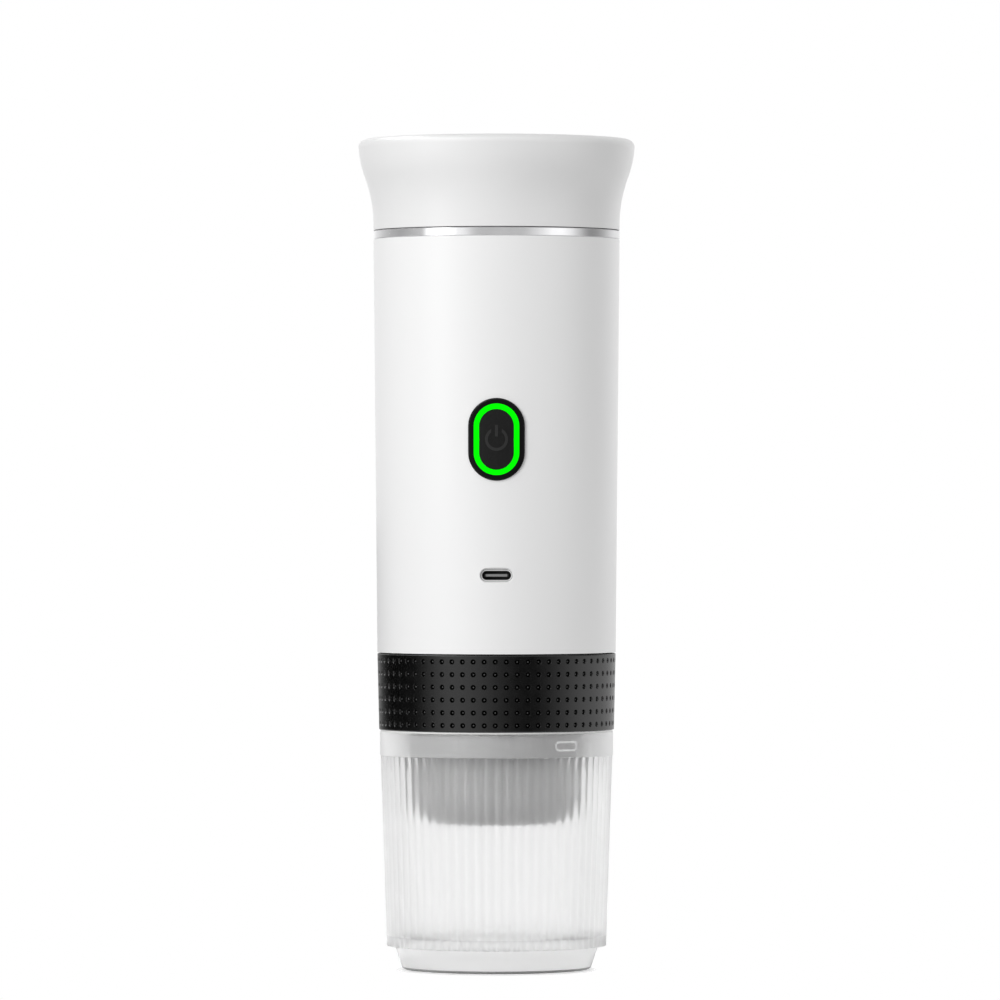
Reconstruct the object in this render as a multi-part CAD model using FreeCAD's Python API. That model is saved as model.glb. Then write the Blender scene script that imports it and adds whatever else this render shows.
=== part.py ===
import FreeCAD, Part
import math
import os

os.makedirs("parts", exist_ok=True)

# Portable espresso maker, in millimetres. The origin is the centre of the foot, +Z is up
# and the button faces -Y.

# Heights of the outer pieces and the gaps between them, from the foot up
foot_h = 6.8
cup_h = 68.9
cup_band_h = 6.9
cup_seal_h = 0.4
collar_h = 22.1
collar_gap = 0.3
body_h = 119.4
trim_h = 2.5
lid_gap = 0.2
lid_h = 26.2

# Outer radii. The rounded lid rim measures 80 across.
body_bottom_r = 34.5
body_top_r = 35.65
lid_rim_r = 40.08

# Steps in radius from the body's foot down to the ring that the cup stands on
collar_taper = 0.5
band_step = 0.25
flute_step = 0.2
cup_taper = 1.85
foot_step = 2.3
foot_taper = 2.2
foot_ring_w = 2.7

# Walls
collar_wall = 2.0
body_wall = 1.8
lid_wall = 2.0
cup_wall = 2.2
cup_band_wall = 1.85
cup_floor = 4.6
chamber_wall = 1.9
bowl_wall = 2.4
basket_wall = 0.5
tank_wall = 0.6

# Edges
edge_r = 0.4
lid_edge_r = 2.2
foot_edge_r = 0.8

# Clearances
running_gap = 0.04
slip_gap = 0.1
open_gap = 0.3

# Radii that follow from the steps
collar_top_r = body_bottom_r
collar_bottom_r = collar_top_r - collar_taper
cup_band_r = collar_bottom_r - band_step
cup_flute_top_r = cup_band_r - flute_step
cup_base_r = cup_flute_top_r - cup_taper
foot_top_r = cup_base_r - foot_step
foot_r = foot_top_r - foot_taper
foot_recess_r = foot_r - foot_ring_w

# Levels that follow from the heights
cup_band_z = cup_h - cup_band_h
cup_seal_z = cup_h
collar_z = cup_seal_z + cup_seal_h
collar_top_z = collar_z + collar_h
body_z = collar_top_z + collar_gap
body_top_z = body_z + body_h
trim_top_z = body_top_z + trim_h
lid_z = trim_top_z + lid_gap
lid_top_z = lid_z + lid_h

# Cup
flute_count = 68
flute_depth = 0.4
foot_recess_h = 4.5
cup_corner_r = 3.0
cup_step_drop = 1.2

# Threads of the lid and of the brew chamber: helical ribs, three starts
thread_starts = 3
thread_lead = 12.0
thread_root_w = 1.9
thread_crest_w = 1.1
thread_room = 1.8
thread_crest_gap = 0.4
thread_end_gap = 0.2
thread_flank_gap = 0.16
thread_sink = 0.3

# Lid
flare_start_h = 1.7
flare_turn = 0.551
plug_depth = 8.1
plug_wall = 1.8
plug_floor = 2.0
liner_flange_h = 1.8
lid_thread_low = 1.4
valve_stem_r = 2.2
valve_flange_r = 5.0
valve_flange_h = 1.2
valve_lip_r = 3.0
valve_lip_h = 2.4
valve_bore_r = 1.0

# Trim ring and tank neck
neck_wall = 1.2
neck_flange_h = 2.8
neck_h = 8.7
neck_shy = 0.9
neck_room = 0.85
trim_lip = 0.2
trim_skirt_wall = 1.6
seal_ring_h = 2.0
seal_ring_in = 1.4

# Water tank
tank_rim_w = 2.4
tank_corner_r = 3.0
tank_gasket_h = 1.0
tank_pad_h = 2.8
tank_pad_w = 3.2
filter_r = 4.4
filter_edge_gap = 0.7
filter_h = 1.6
heater_t = 0.6
heater_margin = 4.0
heater_tab_w = 8.0
heater_tab_deg = -46
heater_lead_deg = 3
insulation_t = 3.0
insulation_margin = 2.5
insulation_gap = 0.1
insulation_room = 1.13
thermostat_r = 6.3
thermostat_h = 6.5
thermostat_edge_gap = 1.7
thermostat_blade_x = 3.2
blade_t = 0.8
probe_r = 1.6
probe_h = 4.4
probe_edge_gap = 0.4
probe_deg = 138

# Battery cells stand in an arc behind the pump
cell_r = 9.25
cell_len = 65.0
cell_room = 0.6
cell_side_gap = 0.93
cell_gap = 0.1
cell_ring_w = 1.05
cell_ring_h = 5.5
cell_button_r = 3.2
cell_button_h = 0.7
strap_t = 0.25
strap_out_w = 0.7
strap_in_w = 5.7
strap_pad_r = 3.5
strap_tab_w = 3.5
strap_tab_len = 11.2
strap_room = 0.1
sleeve_notch_w = 12.5
cell_play = 0.5

# Frame that carries the insides
frame_plate_h = 2.0
pillar_r = 2.5
pillar_inset = 2.8
front_pillar_deg = 35
bolt_r = 1.25
bolt_clear_r = 1.45
bolt_head_r = 2.2
bolt_head_h = 1.6
bolt_socket_r = 1.0
insert_r = 2.0
insert_h = 7.0
rail_lap = 1.0
rail_w = 3.4
rail_h = 14.0
rail_lip = 1.6

# Brew head, screwed into the chamber
head_flange_h = 3.5
head_flange_wall = 1.2
head_boss_h = 11.8
head_thread_low = 1.6
head_thread_gap = 1.25
head_rim_wall = 1.3
gasket_w = 2.2
gasket_land = 0.9
gasket_h = 3.0
gasket_sink = 2.5
shower_gap = 0.8
shower_t = 0.8
shower_lap = 1.0
shower_room_h = 1.6
shower_boss_r = 4.2
shower_hole_r = 0.75
shower_hole_pitch = 3.75
shower_hole_edge = 1.5
shower_screw_r = 1.5
shower_screw_len = 8.0
shower_screw_head_r = 2.8
shower_screw_head_h = 1.5
water_way_r = 1.5
water_cross_r = 1.2
water_way_drop = 7.0
water_way_in = 8.0

# Brew chamber and basket
chamber_rim_shy = 0.2
bowl_drop = 26.9
bowl_taper = 0.6
bowl_corner_r = 10.0
spigot_web_h = 2.8
spigot_wall = 2.0
lug_w = 6.5
lug_h = 2.3
lug_out = 0.2
lug_angle = 39
lug_rise = 3.2
basket_rim_t = 0.6
basket_depth = 20.5
basket_taper = 0.5
basket_corner_r = 2.0
basket_hole_r = 0.5
basket_hole_pitch = 2.6
basket_hole_edge = 3.0
basket_play = 0.3
nozzle_r = 4.0
nozzle_h = 4.0
nozzle_bore_r = 0.6

# Pump: two meshing gears in a sealed housing, turned by the motor above
motor_y = -8.0
motor_rim_w = 2.0
motor_h = 30.8
motor_wall = 0.9
motor_base_h = 1.2
endbell_h = 3.4
magnet_t = 2.3
magnet_h = 18.5
magnet_base_gap = 4.5
magnet_split_w = 7.0
rotor_gap = 0.4
rotor_core_h = 18.0
rotor_base_gap = 4.0
commutator_r = 3.2
commutator_h = 4.0
shaft_r = 1.15
bearing_r = 2.4
bearing_h = 3.0
terminal_w = 1.6
terminal_h = 2.6
terminal_x = 4.5
gear_teeth = 14
gear_module = 0.6
gear_addendum = 0.8
gear_dedendum = 1.1
gear_pressure_deg = 20.0
gear_backlash = 0.05
gear_h = 5.9
gear_axial_gap = 0.05
gear_tip_gap = 0.07
idler_pin_r = 1.0
idler_pin_sink = 1.5
pump_wall = 3.75
pump_cover_h = 3.0
pump_roof_h = 2.0
pump_flange_h = 4.0
pump_port_r = 1.2
pump_screw_r = 1.0
pump_screw_inset = 1.75
pump_screw_len = 8.0
pump_screw_head_r = 1.6
pump_screw_head_h = 1.2
pump_socket_r = 0.8
motor_screw_out = 1.7
motor_screw_len = 4.6
motor_screw_head_r = 1.4
shaft_seal_r = 3.5
damper_wall = 1.2
damper_floor = 2.8
damper_h = 8.8

# Hoses and their barbs
barb_r = 1.9
barb_bore_r = 1.1
barb_flange_r = 3.2
barb_flange_h = 2.0
barb_len = 3.7
hose_r = 3.0
hose_bend_r = 6.0
hose_fit = 0.02
hose_hole_gap = 0.7
tank_barb_len = 9.0
head_barb_len = 4.2

# Front: button, light ring, board and charging port
button_rise = 61.3
bezel_band = 1.6
bezel_round_r = 0.6
bezel_proud = 0.8
bezel_step = 0.9
bezel_depth = 3.9
window_reach = 5.0
light_w = 13.0
light_h = 20.4
light_wall = 1.5
light_depth = 4.7
light_shy = 0.1
button_gap = 0.15
button_wall = 1.5
button_stem_r = 2.2
button_tab_w = 6.0
button_tab_t = 0.9
mark_r = 3.3
mark_stroke = 0.85
mark_proud = 0.15
mark_gap_w = 3.0
mark_bar_low = 0.8
mark_bar_top = 4.1
usb_rise = 22.5
usb_w = 8.94
usb_h = 3.26
usb_len = 7.3
usb_wall = 0.35
usb_back = 1.0
usb_recess = 1.0
usb_tongue_w = 6.7
usb_tongue_t = 0.7
usb_tongue_shy = 0.9
usb_hole_gap = 0.1
usb_bevel_gap = 0.5
usb_bevel_depth = 0.7
board_t = 1.6
board_w = 32.0
board_end_gap = 0.5
board_slot_gap = 0.1
# Each part on the board's back: x, height above the frame's floor, width, height, depth
board_part_sizes = (
    (-9.0, 20.8, 7.0, 7.0, 1.2),
    (6.0, 24.8, 5.0, 5.0, 1.0),
    (-4.0, 8.3, 8.0, 7.0, 3.2),
    (8.0, 8.8, 5.0, 6.0, 2.0),
    (0.0, 36.8, 6.0, 4.0, 1.1),
    (9.0, 38.8, 4.0, 3.0, 1.0),
)
switch_w = 6.0
switch_depth = 2.2
plunger_r = 1.7
plunger_sink = 1.5
button_travel = 0.6
led_x = 5.75
led_rise = 5.5
led_w = 1.6
led_h = 0.8
led_t = 0.7

# Wires
wire_r = 0.6
lead_hole_r = 3.2
heater_lead_x = 12.5
heater_lead_y = -18.5
heater_lead_drop = 2.0
heater_lead_fall = 8.0
heater_lead_split = 2.0
# Points of a battery lead between pump and hose: how far inside the hose's x, y and climb
battery_lead_route = ((5.6, 1.0, 0.7), (4.6, -6.0, 1.6), (7.0, -16.0, 3.5))


def vec(x, y, z):
    return FreeCAD.Vector(x, y, z)


UP = vec(0, 0, 1)
ORIGIN = vec(0, 0, 0)
RIGHT = vec(1, 0, 0)
BACK = vec(0, 1, 0)


def cylinder(radius, z0, z1, x=0, y=0):
    """Upright round bar."""
    return Part.makeCylinder(radius, z1 - z0, vec(x, y, z0))


def tube(r_out, r_in, z0, z1, x=0, y=0):
    """Upright round tube."""
    return cylinder(r_out, z0, z1, x, y).cut(cylinder(r_in, z0, z1, x, y))


def block(x0, x1, y0, y1, z0, z1):
    return Part.makeBox(x1 - x0, y1 - y0, z1 - z0, vec(x0, y0, z0))


def turned(outline):
    """Solid turned about the vertical axis. A point is (r, z); four values are an arc's midpoint and end."""
    edges = []
    here = vec(outline[0][0], 0, outline[0][1])
    for step in outline[1:] + [outline[0]]:
        end = vec(step[-2], 0, step[-1])
        if len(step) == 4:
            edges.append(Part.Arc(here, vec(step[0], 0, step[1]), end).toShape())
        else:
            edges.append(Part.makeLine(here, end))
        here = end
    return Part.Face(Part.Wire(edges)).revolve(ORIGIN, UP, 360)


def corner(centre_r, centre_z, radius, from_deg, to_deg):
    """Arc step of an outline about a centre, as its midpoint and end."""
    middle = math.radians((from_deg + to_deg) / 2)
    end = math.radians(to_deg)
    return (
        centre_r + radius * math.cos(middle),
        centre_z + radius * math.sin(middle),
        centre_r + radius * math.cos(end),
        centre_z + radius * math.sin(end),
    )


def polar(radius, angle_deg):
    """Point on a circle about the vertical axis; 0 degrees is +X."""
    return (
        radius * math.cos(math.radians(angle_deg)),
        radius * math.sin(math.radians(angle_deg)),
    )


def fused(shapes):
    return shapes[0].multiFuse(shapes[1:]).removeSplitter()


def group(shapes):
    return Part.makeCompound(shapes)


def lozenge_wire(width, height, y, z):
    """Closed outline of two straight sides and two round ends, facing along Y."""
    radius = min(width, height) / 2
    reach_x = width / 2 - radius
    reach_z = height / 2 - radius
    if reach_z > 0:
        corners = [(radius, -reach_z), (radius, reach_z), (-radius, reach_z), (-radius, -reach_z)]
        tips = [(0, height / 2), (0, -height / 2)]
    else:
        corners = [(-reach_x, -radius), (reach_x, -radius), (reach_x, radius), (-reach_x, radius)]
        tips = [(width / 2, 0), (-width / 2, 0)]
    points = [vec(x, y, z + dz) for x, dz in corners]
    ends = [vec(x, y, z + dz) for x, dz in tips]
    return Part.Wire([
        Part.makeLine(points[0], points[1]),
        Part.Arc(points[1], ends[0], points[2]).toShape(),
        Part.makeLine(points[2], points[3]),
        Part.Arc(points[3], ends[1], points[0]).toShape(),
    ])


def lozenge(width, height, y0, y1, z):
    """Bar along Y with a lozenge section."""
    return Part.Face(lozenge_wire(width, height, y0, z)).extrude(vec(0, y1 - y0, 0))


def pump_bar(radius, z0, z1):
    """Upright bar with round ends about the two gear axes."""
    first = cylinder(radius, z0, z1, 0, motor_y)
    second = cylinder(radius, z0, z1, 0, idler_y)
    return fused([first, second, block(-radius, radius, motor_y, idler_y, z0, z1)])


def body_r(z):
    """Outer radius of the body at a height."""
    return body_bottom_r + (body_top_r - body_bottom_r) * (z - body_z) / body_h


def body_cone(offset):
    """Solid inside the body's outer surface moved out by an offset."""
    return Part.makeCone(
        body_bottom_r + offset, body_top_r + offset, body_h, vec(0, 0, body_z)
    )


def thread_rib(r_wall, outward, z0, height):
    """One helical rib, outward 1 or -1, whose root sinks into the wall that carries it."""
    r_crest = r_wall + outward * thread_depth
    r_root = r_wall - outward * thread_sink
    half_root = thread_root_w / 2 + flank_slope * thread_sink
    helix = Part.makeHelix(thread_lead, height, r_wall)
    outline = [
        vec(r_root, 0, -half_root),
        vec(r_crest, 0, -thread_crest_w / 2),
        vec(r_crest, 0, thread_crest_w / 2),
        vec(r_root, 0, half_root),
    ]
    section = Part.makePolygon(outline + [outline[0]])
    rib = Part.Wire(helix.Edges).makePipeShell([section], True, True)
    rib.translate(vec(0, 0, z0))
    return rib


def threaded(body, r_wall, outward, z0, height):
    """Adds the thread's ribs to a body."""
    first = thread_rib(r_wall, outward, z0, height)
    ribs = []
    for start in range(thread_starts):
        rib = first.copy()
        rib.rotate(ORIGIN, UP, start * 360 / thread_starts)
        ribs.append(rib)
    return body.multiFuse(ribs)


def hole_rings(pitch, start_r, limit_r, radius, z0, z1):
    """Round holes on rings about the axis, a pitch apart in and between the rings."""
    holes = []
    ring_r = start_r
    while ring_r <= limit_r:
        count = max(1, int(2 * math.pi * ring_r / pitch))
        for index in range(count):
            x, y = polar(ring_r, index * 360 / count)
            holes.append(cylinder(radius, z0, z1, x, y))
        ring_r += pitch
    return group(holes)


def rounded_path(points, bend_share=0.45, bend_r=None):
    """Straight runs through the points joined by tangent arcs."""
    edges = []
    here = points[0]
    for before, point, after in zip(points, points[1:], points[2:]):
        back = (before - point).normalize()
        ahead = (after - point).normalize()
        half_turn = (math.pi - back.getAngle(ahead)) / 2
        setback = bend_share * min((before - point).Length, (after - point).Length)
        if bend_r is not None:
            setback = bend_r * math.tan(half_turn)
        radius = setback / math.tan(half_turn)
        start = point + back * setback
        end = point + ahead * setback
        inward = (back + ahead).normalize()
        middle = point + inward * (radius / math.cos(half_turn) - radius)
        edges.append(Part.makeLine(here, start))
        edges.append(Part.Arc(start, middle, end).toShape())
        here = end
    edges.append(Part.makeLine(here, points[-1]))
    return Part.Wire(edges)


def swept(path, radius):
    """Round bar along a path."""
    start = path.Edges[0].valueAt(path.Edges[0].FirstParameter)
    direction = path.Edges[0].tangentAt(path.Edges[0].FirstParameter)
    section = Part.Wire([Part.makeCircle(radius, start, direction)])
    return path.makePipeShell([section], True, False)


def save(node, shape):
    shape.exportStep("parts/" + node + ".step")


# Threads: each crest keeps the same clearance to the facing wall, and the female rib lies
# on the male one with a small gap between their flanks
thread_depth = thread_room - thread_crest_gap
flank_slope = (thread_root_w - thread_crest_w) / 2 / thread_depth
flank_reach = thread_root_w - flank_slope * thread_room
thread_offset = flank_reach + thread_flank_gap

# Radii of the brew end, from the collar inwards
chamber_wall_r = collar_bottom_r - collar_wall
chamber_thread_r = chamber_wall_r - chamber_wall
head_core_r = chamber_thread_r - thread_room
basket_rim_r = head_core_r - head_rim_wall
gasket_in_r = basket_rim_r - gasket_w
chamber_bore_r = gasket_in_r - gasket_land
bowl_top_r = chamber_bore_r + bowl_wall
bowl_flat_r = bowl_top_r - bowl_taper - bowl_corner_r
shower_r = chamber_bore_r - basket_play - basket_wall - shower_gap
spigot_r = cup_band_r - cup_band_wall - open_gap

# Levels of the brew end
head_low_z = body_z - head_boss_h
head_top_z = body_z + head_flange_h
gasket_low_z = head_low_z + gasket_sink - gasket_h
basket_rim_z = gasket_low_z - basket_rim_t
basket_low_z = gasket_low_z - basket_depth
shower_low_z = head_low_z - shower_t
spigot_low_z = cup_band_z
chamber_low_z = cup_h - bowl_drop
chamber_top_z = collar_top_z - chamber_rim_shy
head_thread_z = head_low_z + head_thread_low
chamber_thread_z = head_thread_z + thread_offset
head_thread_h = body_z - head_thread_gap - thread_root_w / 2 - head_thread_z
chamber_thread_h = chamber_top_z - thread_end_gap - thread_root_w / 2 - chamber_thread_z

# Cells fill the body's back; a pillar stands between each two and one on each side in front
cell_circle_r = body_bottom_r - body_wall - cell_room - cell_ring_w - cell_gap - cell_r
cell_step_deg = 2 * math.degrees(math.asin((cell_r + cell_side_gap) / cell_circle_r))
cell_angles = (90 - cell_step_deg, 90, 90 + cell_step_deg)
strap_out_r = cell_circle_r + strap_out_w
strap_in_r = cell_circle_r - strap_in_w
strap_tab_r = cell_circle_r - strap_tab_len
pillar_circle_r = head_core_r - pillar_inset
pillar_angles = (
    -front_pillar_deg, 90 - cell_step_deg / 2, 90 + cell_step_deg / 2, 180 + front_pillar_deg
)

# Levels of the frame and cells
frame_z = head_top_z
frame_floor_z = frame_z + frame_plate_h
cell_z = frame_floor_z + strap_t
cell_top_z = cell_z + cell_len
frame_top_z = cell_top_z + strap_t + cell_play
frame_end_z = frame_top_z + frame_plate_h

# Levels of the water end
tank_z = frame_end_z + tank_pad_h
neck_top_z = trim_top_z - neck_shy
neck_z = neck_top_z - neck_h
tank_rim_z = neck_z - tank_gasket_h
tank_space_r = min(body_r(tank_z), body_r(tank_rim_z)) - body_wall
tank_r = tank_space_r - insulation_room - insulation_t - insulation_gap - heater_t
tank_rim_r = tank_r + tank_rim_w
hose_x = tank_r - tank_corner_r - filter_edge_gap - filter_r
tank_pad_r = hose_x - hose_r - open_gap
tank_pad_in_r = tank_pad_r - tank_pad_w
thermostat_y = thermostat_r + thermostat_edge_gap - tank_pad_in_r
probe_circle_r = tank_pad_in_r - probe_edge_gap - probe_r
neck_bore_r = body_top_r - body_wall - slip_gap - trim_skirt_wall - neck_room - neck_wall
plug_r = neck_bore_r - thread_room
plug_top_z = neck_top_z + seal_ring_h
plug_low_z = neck_top_z - plug_depth
lid_thread_z = plug_low_z + lid_thread_low
lid_thread_h = neck_top_z - lid_thread_z - thread_root_w / 2
neck_thread_z = lid_thread_z + thread_offset
neck_thread_h = neck_top_z - thread_end_gap - thread_root_w / 2 - neck_thread_z
neck_flange_z = neck_z + neck_flange_h

# Pump, motor and ports
gear_pitch_r = gear_teeth * gear_module / 2
gear_tip_r = gear_pitch_r + gear_addendum * gear_module
gear_root_r = gear_pitch_r - gear_dedendum * gear_module
gear_room_r = gear_tip_r + gear_tip_gap
pump_r = gear_room_r + pump_wall
pump_screw_circle_r = gear_room_r + pump_screw_inset
motor_screw_x = pump_r + motor_screw_out
motor_r = motor_screw_x + motor_rim_w
magnet_in_r = motor_r - motor_wall - magnet_t
rotor_core_r = magnet_in_r - rotor_gap
idler_y = motor_y + 2 * gear_pitch_r + gear_backlash
port_y = (motor_y + idler_y) / 2
pump_z = frame_floor_z + damper_floor
housing_z = pump_z + pump_cover_h
gear_z = housing_z + gear_axial_gap
gear_top_z = gear_z + gear_h
room_top_z = gear_top_z + gear_axial_gap
flange_z = room_top_z + pump_roof_h
motor_z = flange_z + pump_flange_h
motor_top_z = motor_z + motor_h
port_z = (housing_z + room_top_z) / 2

# Front pieces
button_z = body_z + button_rise
usb_z = body_z + usb_rise
bezel_w = light_w + 2 * bezel_band
bezel_h = light_h + 2 * bezel_band
board_y = -(body_r(usb_z) - usb_recess) + usb_len
front_y = -body_r(button_z)
light_back_y = front_y + light_depth
button_w = light_w - 2 * light_wall - 2 * button_gap
button_h = light_h - 2 * light_wall - 2 * button_gap
button_back_y = light_back_y + button_tab_t
switch_y = board_y - switch_depth


def flute_ring(radius, z):
    """Closed ring of outward arcs, one to a flute."""
    step = 360 / flute_count
    edges = []
    for index in range(flute_count):
        start = vec(*polar(radius - flute_depth, index * step), z)
        crest = vec(*polar(radius, (index + 0.5) * step), z)
        end = vec(*polar(radius - flute_depth, (index + 1) * step), z)
        edges.append(Part.Arc(start, crest, end).toShape())
    return Part.Wire(edges)


def cup():
    """Clear beaker: smooth band at the mouth, fluted wall, thick floor and a stepped-in foot."""
    wall = Part.makeLoft(
        [flute_ring(cup_base_r, foot_h), flute_ring(cup_flute_top_r, cup_band_z)], True, True
    )
    band = turned([
        (0, cup_band_z),
        (cup_band_r, cup_band_z),
        (cup_band_r, cup_h - edge_r),
        corner(cup_band_r - edge_r, cup_h - edge_r, edge_r, 0, 90),
        (0, cup_h),
    ])
    foot = turned([
        (0, 0),
        (foot_r - foot_edge_r, 0),
        corner(foot_r - foot_edge_r, foot_edge_r, foot_edge_r, -90, 0),
        (foot_top_r, foot_h),
        (0, foot_h),
    ])
    floor_z = foot_recess_h + cup_floor
    floor_r = cup_base_r - cup_wall - flute_depth
    bore_r = cup_band_r - cup_band_wall
    step_z = cup_band_z - cup_step_drop
    inside = turned([
        (0, floor_z),
        (floor_r - cup_corner_r, floor_z),
        corner(floor_r - cup_corner_r, floor_z + cup_corner_r, cup_corner_r, -90, 0),
        (cup_flute_top_r - cup_wall - flute_depth, step_z - edge_r),
        (bore_r, step_z),
        (bore_r, cup_h),
        (0, cup_h),
    ])
    recess = cylinder(foot_recess_r, 0, foot_recess_h)
    return fused([wall, band, foot]).cut(inside).cut(recess)


def cup_seal():
    """Flat ring under the collar that the cup's rim closes on."""
    return tube(cup_band_r - edge_r / 2, spigot_r, cup_seal_z, collar_z)


def brew_chamber():
    """Grey moulding: bowl, skirt that plugs into the cup and threaded wall inside the collar."""
    web_z = basket_rim_z - spigot_web_h
    bowl_centre_z = chamber_low_z + bowl_corner_r
    inner_corner_r = bowl_corner_r - bowl_wall
    body = turned([
        (0, chamber_low_z),
        (bowl_flat_r, chamber_low_z),
        corner(bowl_flat_r, bowl_centre_z, bowl_corner_r, -90, 0),
        (bowl_top_r, spigot_low_z),
        (bowl_top_r, web_z),
        (spigot_r - spigot_wall, web_z),
        (spigot_r - spigot_wall, spigot_low_z),
        (spigot_r, spigot_low_z),
        (spigot_r, collar_z),
        (chamber_wall_r, collar_z),
        (chamber_wall_r, chamber_top_z),
        (chamber_thread_r, chamber_top_z),
        (chamber_thread_r, basket_rim_z),
        (chamber_bore_r, basket_rim_z),
        (chamber_bore_r, spigot_low_z - bowl_wall),
        (bowl_flat_r + inner_corner_r, bowl_centre_z),
        corner(bowl_flat_r, bowl_centre_z, inner_corner_r, 0, -90),
        (0, chamber_low_z + bowl_wall),
    ])
    body = threaded(body, chamber_thread_r, -1, chamber_thread_z, chamber_thread_h)
    lugs = [detent_lug(lug_angle), detent_lug(lug_angle + 180)]
    nozzle_hole = cylinder(nozzle_r, chamber_low_z, chamber_low_z + nozzle_h)
    return body.multiFuse(lugs).cut(nozzle_hole)


def detent_lug(angle):
    """Low oval lug on the skirt, at an angle from the front."""
    lug_z = spigot_low_z + lug_rise
    bar = lozenge(lug_w, lug_h, -spigot_r - lug_out, -spigot_r + spigot_wall / 2, lug_z)
    lug = bar.common(cylinder(spigot_r + lug_out, spigot_low_z, collar_z))
    lug.rotate(ORIGIN, UP, angle)
    return lug


def grip_collar():
    """Soft black grip ring moulded over the chamber's wall."""
    return turned([
        (chamber_wall_r, collar_z),
        (collar_bottom_r - edge_r, collar_z),
        corner(collar_bottom_r - edge_r, collar_z + edge_r, edge_r, -90, 0),
        (collar_top_r, collar_top_z - edge_r),
        corner(collar_top_r - edge_r, collar_top_z - edge_r, edge_r, 0, 90),
        (chamber_wall_r, collar_top_z),
    ])


def outlet_nozzle():
    """Small insert in the bowl's floor that the coffee leaves by."""
    return tube(nozzle_r, nozzle_bore_r, chamber_low_z, chamber_low_z + nozzle_h)


def coffee_basket():
    """Drawn steel filter basket with a flat rim and a perforated floor."""
    top_r = chamber_bore_r - basket_play
    low_r = top_r - basket_taper
    corner_z = basket_low_z + basket_corner_r
    inner_corner_r = basket_corner_r - basket_wall
    body = turned([
        (0, basket_low_z),
        (low_r - basket_corner_r, basket_low_z),
        corner(low_r - basket_corner_r, corner_z, basket_corner_r, -90, 0),
        (top_r, basket_rim_z),
        (basket_rim_r, basket_rim_z),
        (basket_rim_r, gasket_low_z),
        (top_r - basket_wall, gasket_low_z),
        (low_r - basket_wall, corner_z),
        corner(low_r - basket_corner_r, corner_z, inner_corner_r, 0, -90),
        (0, basket_low_z + basket_wall),
    ])
    limit_r = low_r - basket_corner_r - basket_hole_edge
    holes = hole_rings(basket_hole_pitch, 0, limit_r, basket_hole_r, basket_low_z, corner_z)
    return body.cut(holes)


def brew_head():
    """Fixed block that closes the body's foot, with the chamber's thread and the water way."""
    inner_r = body_bottom_r - head_flange_wall - slip_gap
    body = fused([
        cylinder(head_core_r, head_low_z, head_top_z),
        cylinder(inner_r, body_z, head_top_z),
    ])
    body = threaded(body, head_core_r, 1, head_thread_z, head_thread_h)
    cuts = [
        tube(basket_rim_r, gasket_in_r, head_low_z, head_low_z + gasket_sink),
        tube(shower_r - shower_lap, shower_boss_r, head_low_z, head_low_z + shower_room_h),
        cylinder(shower_screw_r, head_low_z, shower_low_z + shower_screw_len),
    ]
    cuts += pillar_bars(insert_r, head_top_z - insert_h, head_top_z)
    way_z = head_top_z - water_way_drop
    cuts.append(cylinder(water_way_r, way_z - water_way_r, head_top_z, -hose_x, port_y))
    cuts.append(cylinder(water_way_r, head_low_z, way_z + water_way_r, -water_way_in, port_y))
    cross_len = hose_x - water_way_in
    cuts.append(Part.makeCylinder(water_cross_r, cross_len, vec(-hose_x, port_y, way_z), RIGHT))
    cuts.append(cylinder(barb_flange_r, head_top_z - barb_flange_h, head_top_z, -hose_x, port_y))
    return body.cut(cuts)


def head_gasket():
    """Silicone ring that seals the basket's rim."""
    return tube(basket_rim_r, gasket_in_r, gasket_low_z, gasket_low_z + gasket_h)


def shower_screen():
    """Perforated steel disc that spreads the water."""
    disc = tube(shower_r, shower_screw_r, shower_low_z, head_low_z)
    limit_r = shower_r - shower_hole_edge
    start_r = 2 * shower_hole_pitch
    holes = hole_rings(shower_hole_pitch, start_r, limit_r, shower_hole_r, shower_low_z, head_low_z)
    return disc.cut(holes)


def shower_screw():
    """Pan head screw that holds the shower screen."""
    head = cylinder(shower_screw_head_r, shower_low_z - shower_screw_head_h, shower_low_z)
    slot_r = shower_screw_r / 2
    drive = block(
        -shower_screw_head_r, shower_screw_head_r, -slot_r / 2, slot_r / 2,
        shower_low_z - shower_screw_head_h, shower_low_z - shower_screw_head_h / 2,
    )
    shank = cylinder(shower_screw_r, shower_low_z, shower_low_z + shower_screw_len)
    return fused([head, shank]).cut(drive)


def head_fitting():
    """Barb in the top of the brew head for the pressure hose."""
    return barb(head_top_z - barb_flange_h, barb_flange_h, head_barb_len, -hose_x)


def barb(z, flange_h, length, x):
    """Upright hose barb with its flange below."""
    body = fused([
        cylinder(barb_flange_r, z, z + flange_h, x, port_y),
        cylinder(barb_r, z + flange_h, z + flange_h + length, x, port_y),
    ])
    return body.cut(cylinder(barb_bore_r, z, z + flange_h + length, x, port_y))


def threaded_inserts():
    """Brass inserts in the brew head for the tie bolts."""
    low_z = head_top_z - insert_h
    bodies = pillar_bars(insert_r, low_z, head_top_z)
    bores = pillar_bars(bolt_r, low_z, head_top_z)
    return group([body.cut(bore) for body, bore in zip(bodies, bores)])


def tie_bolts():
    """Long bolts that clamp both frame plates to the brew head."""
    bolts = []
    for angle in pillar_angles:
        x, y = polar(pillar_circle_r, angle)
        shank = cylinder(bolt_r, head_top_z - insert_h, frame_end_z, x, y)
        head = cylinder(bolt_head_r, frame_end_z, frame_end_z + bolt_head_h, x, y)
        socket = cylinder(bolt_socket_r, frame_end_z + bolt_head_h / 2, frame_end_z + bolt_head_h, x, y)
        bolts.append(fused([shank, head]).cut(socket))
    return group(bolts)


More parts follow.
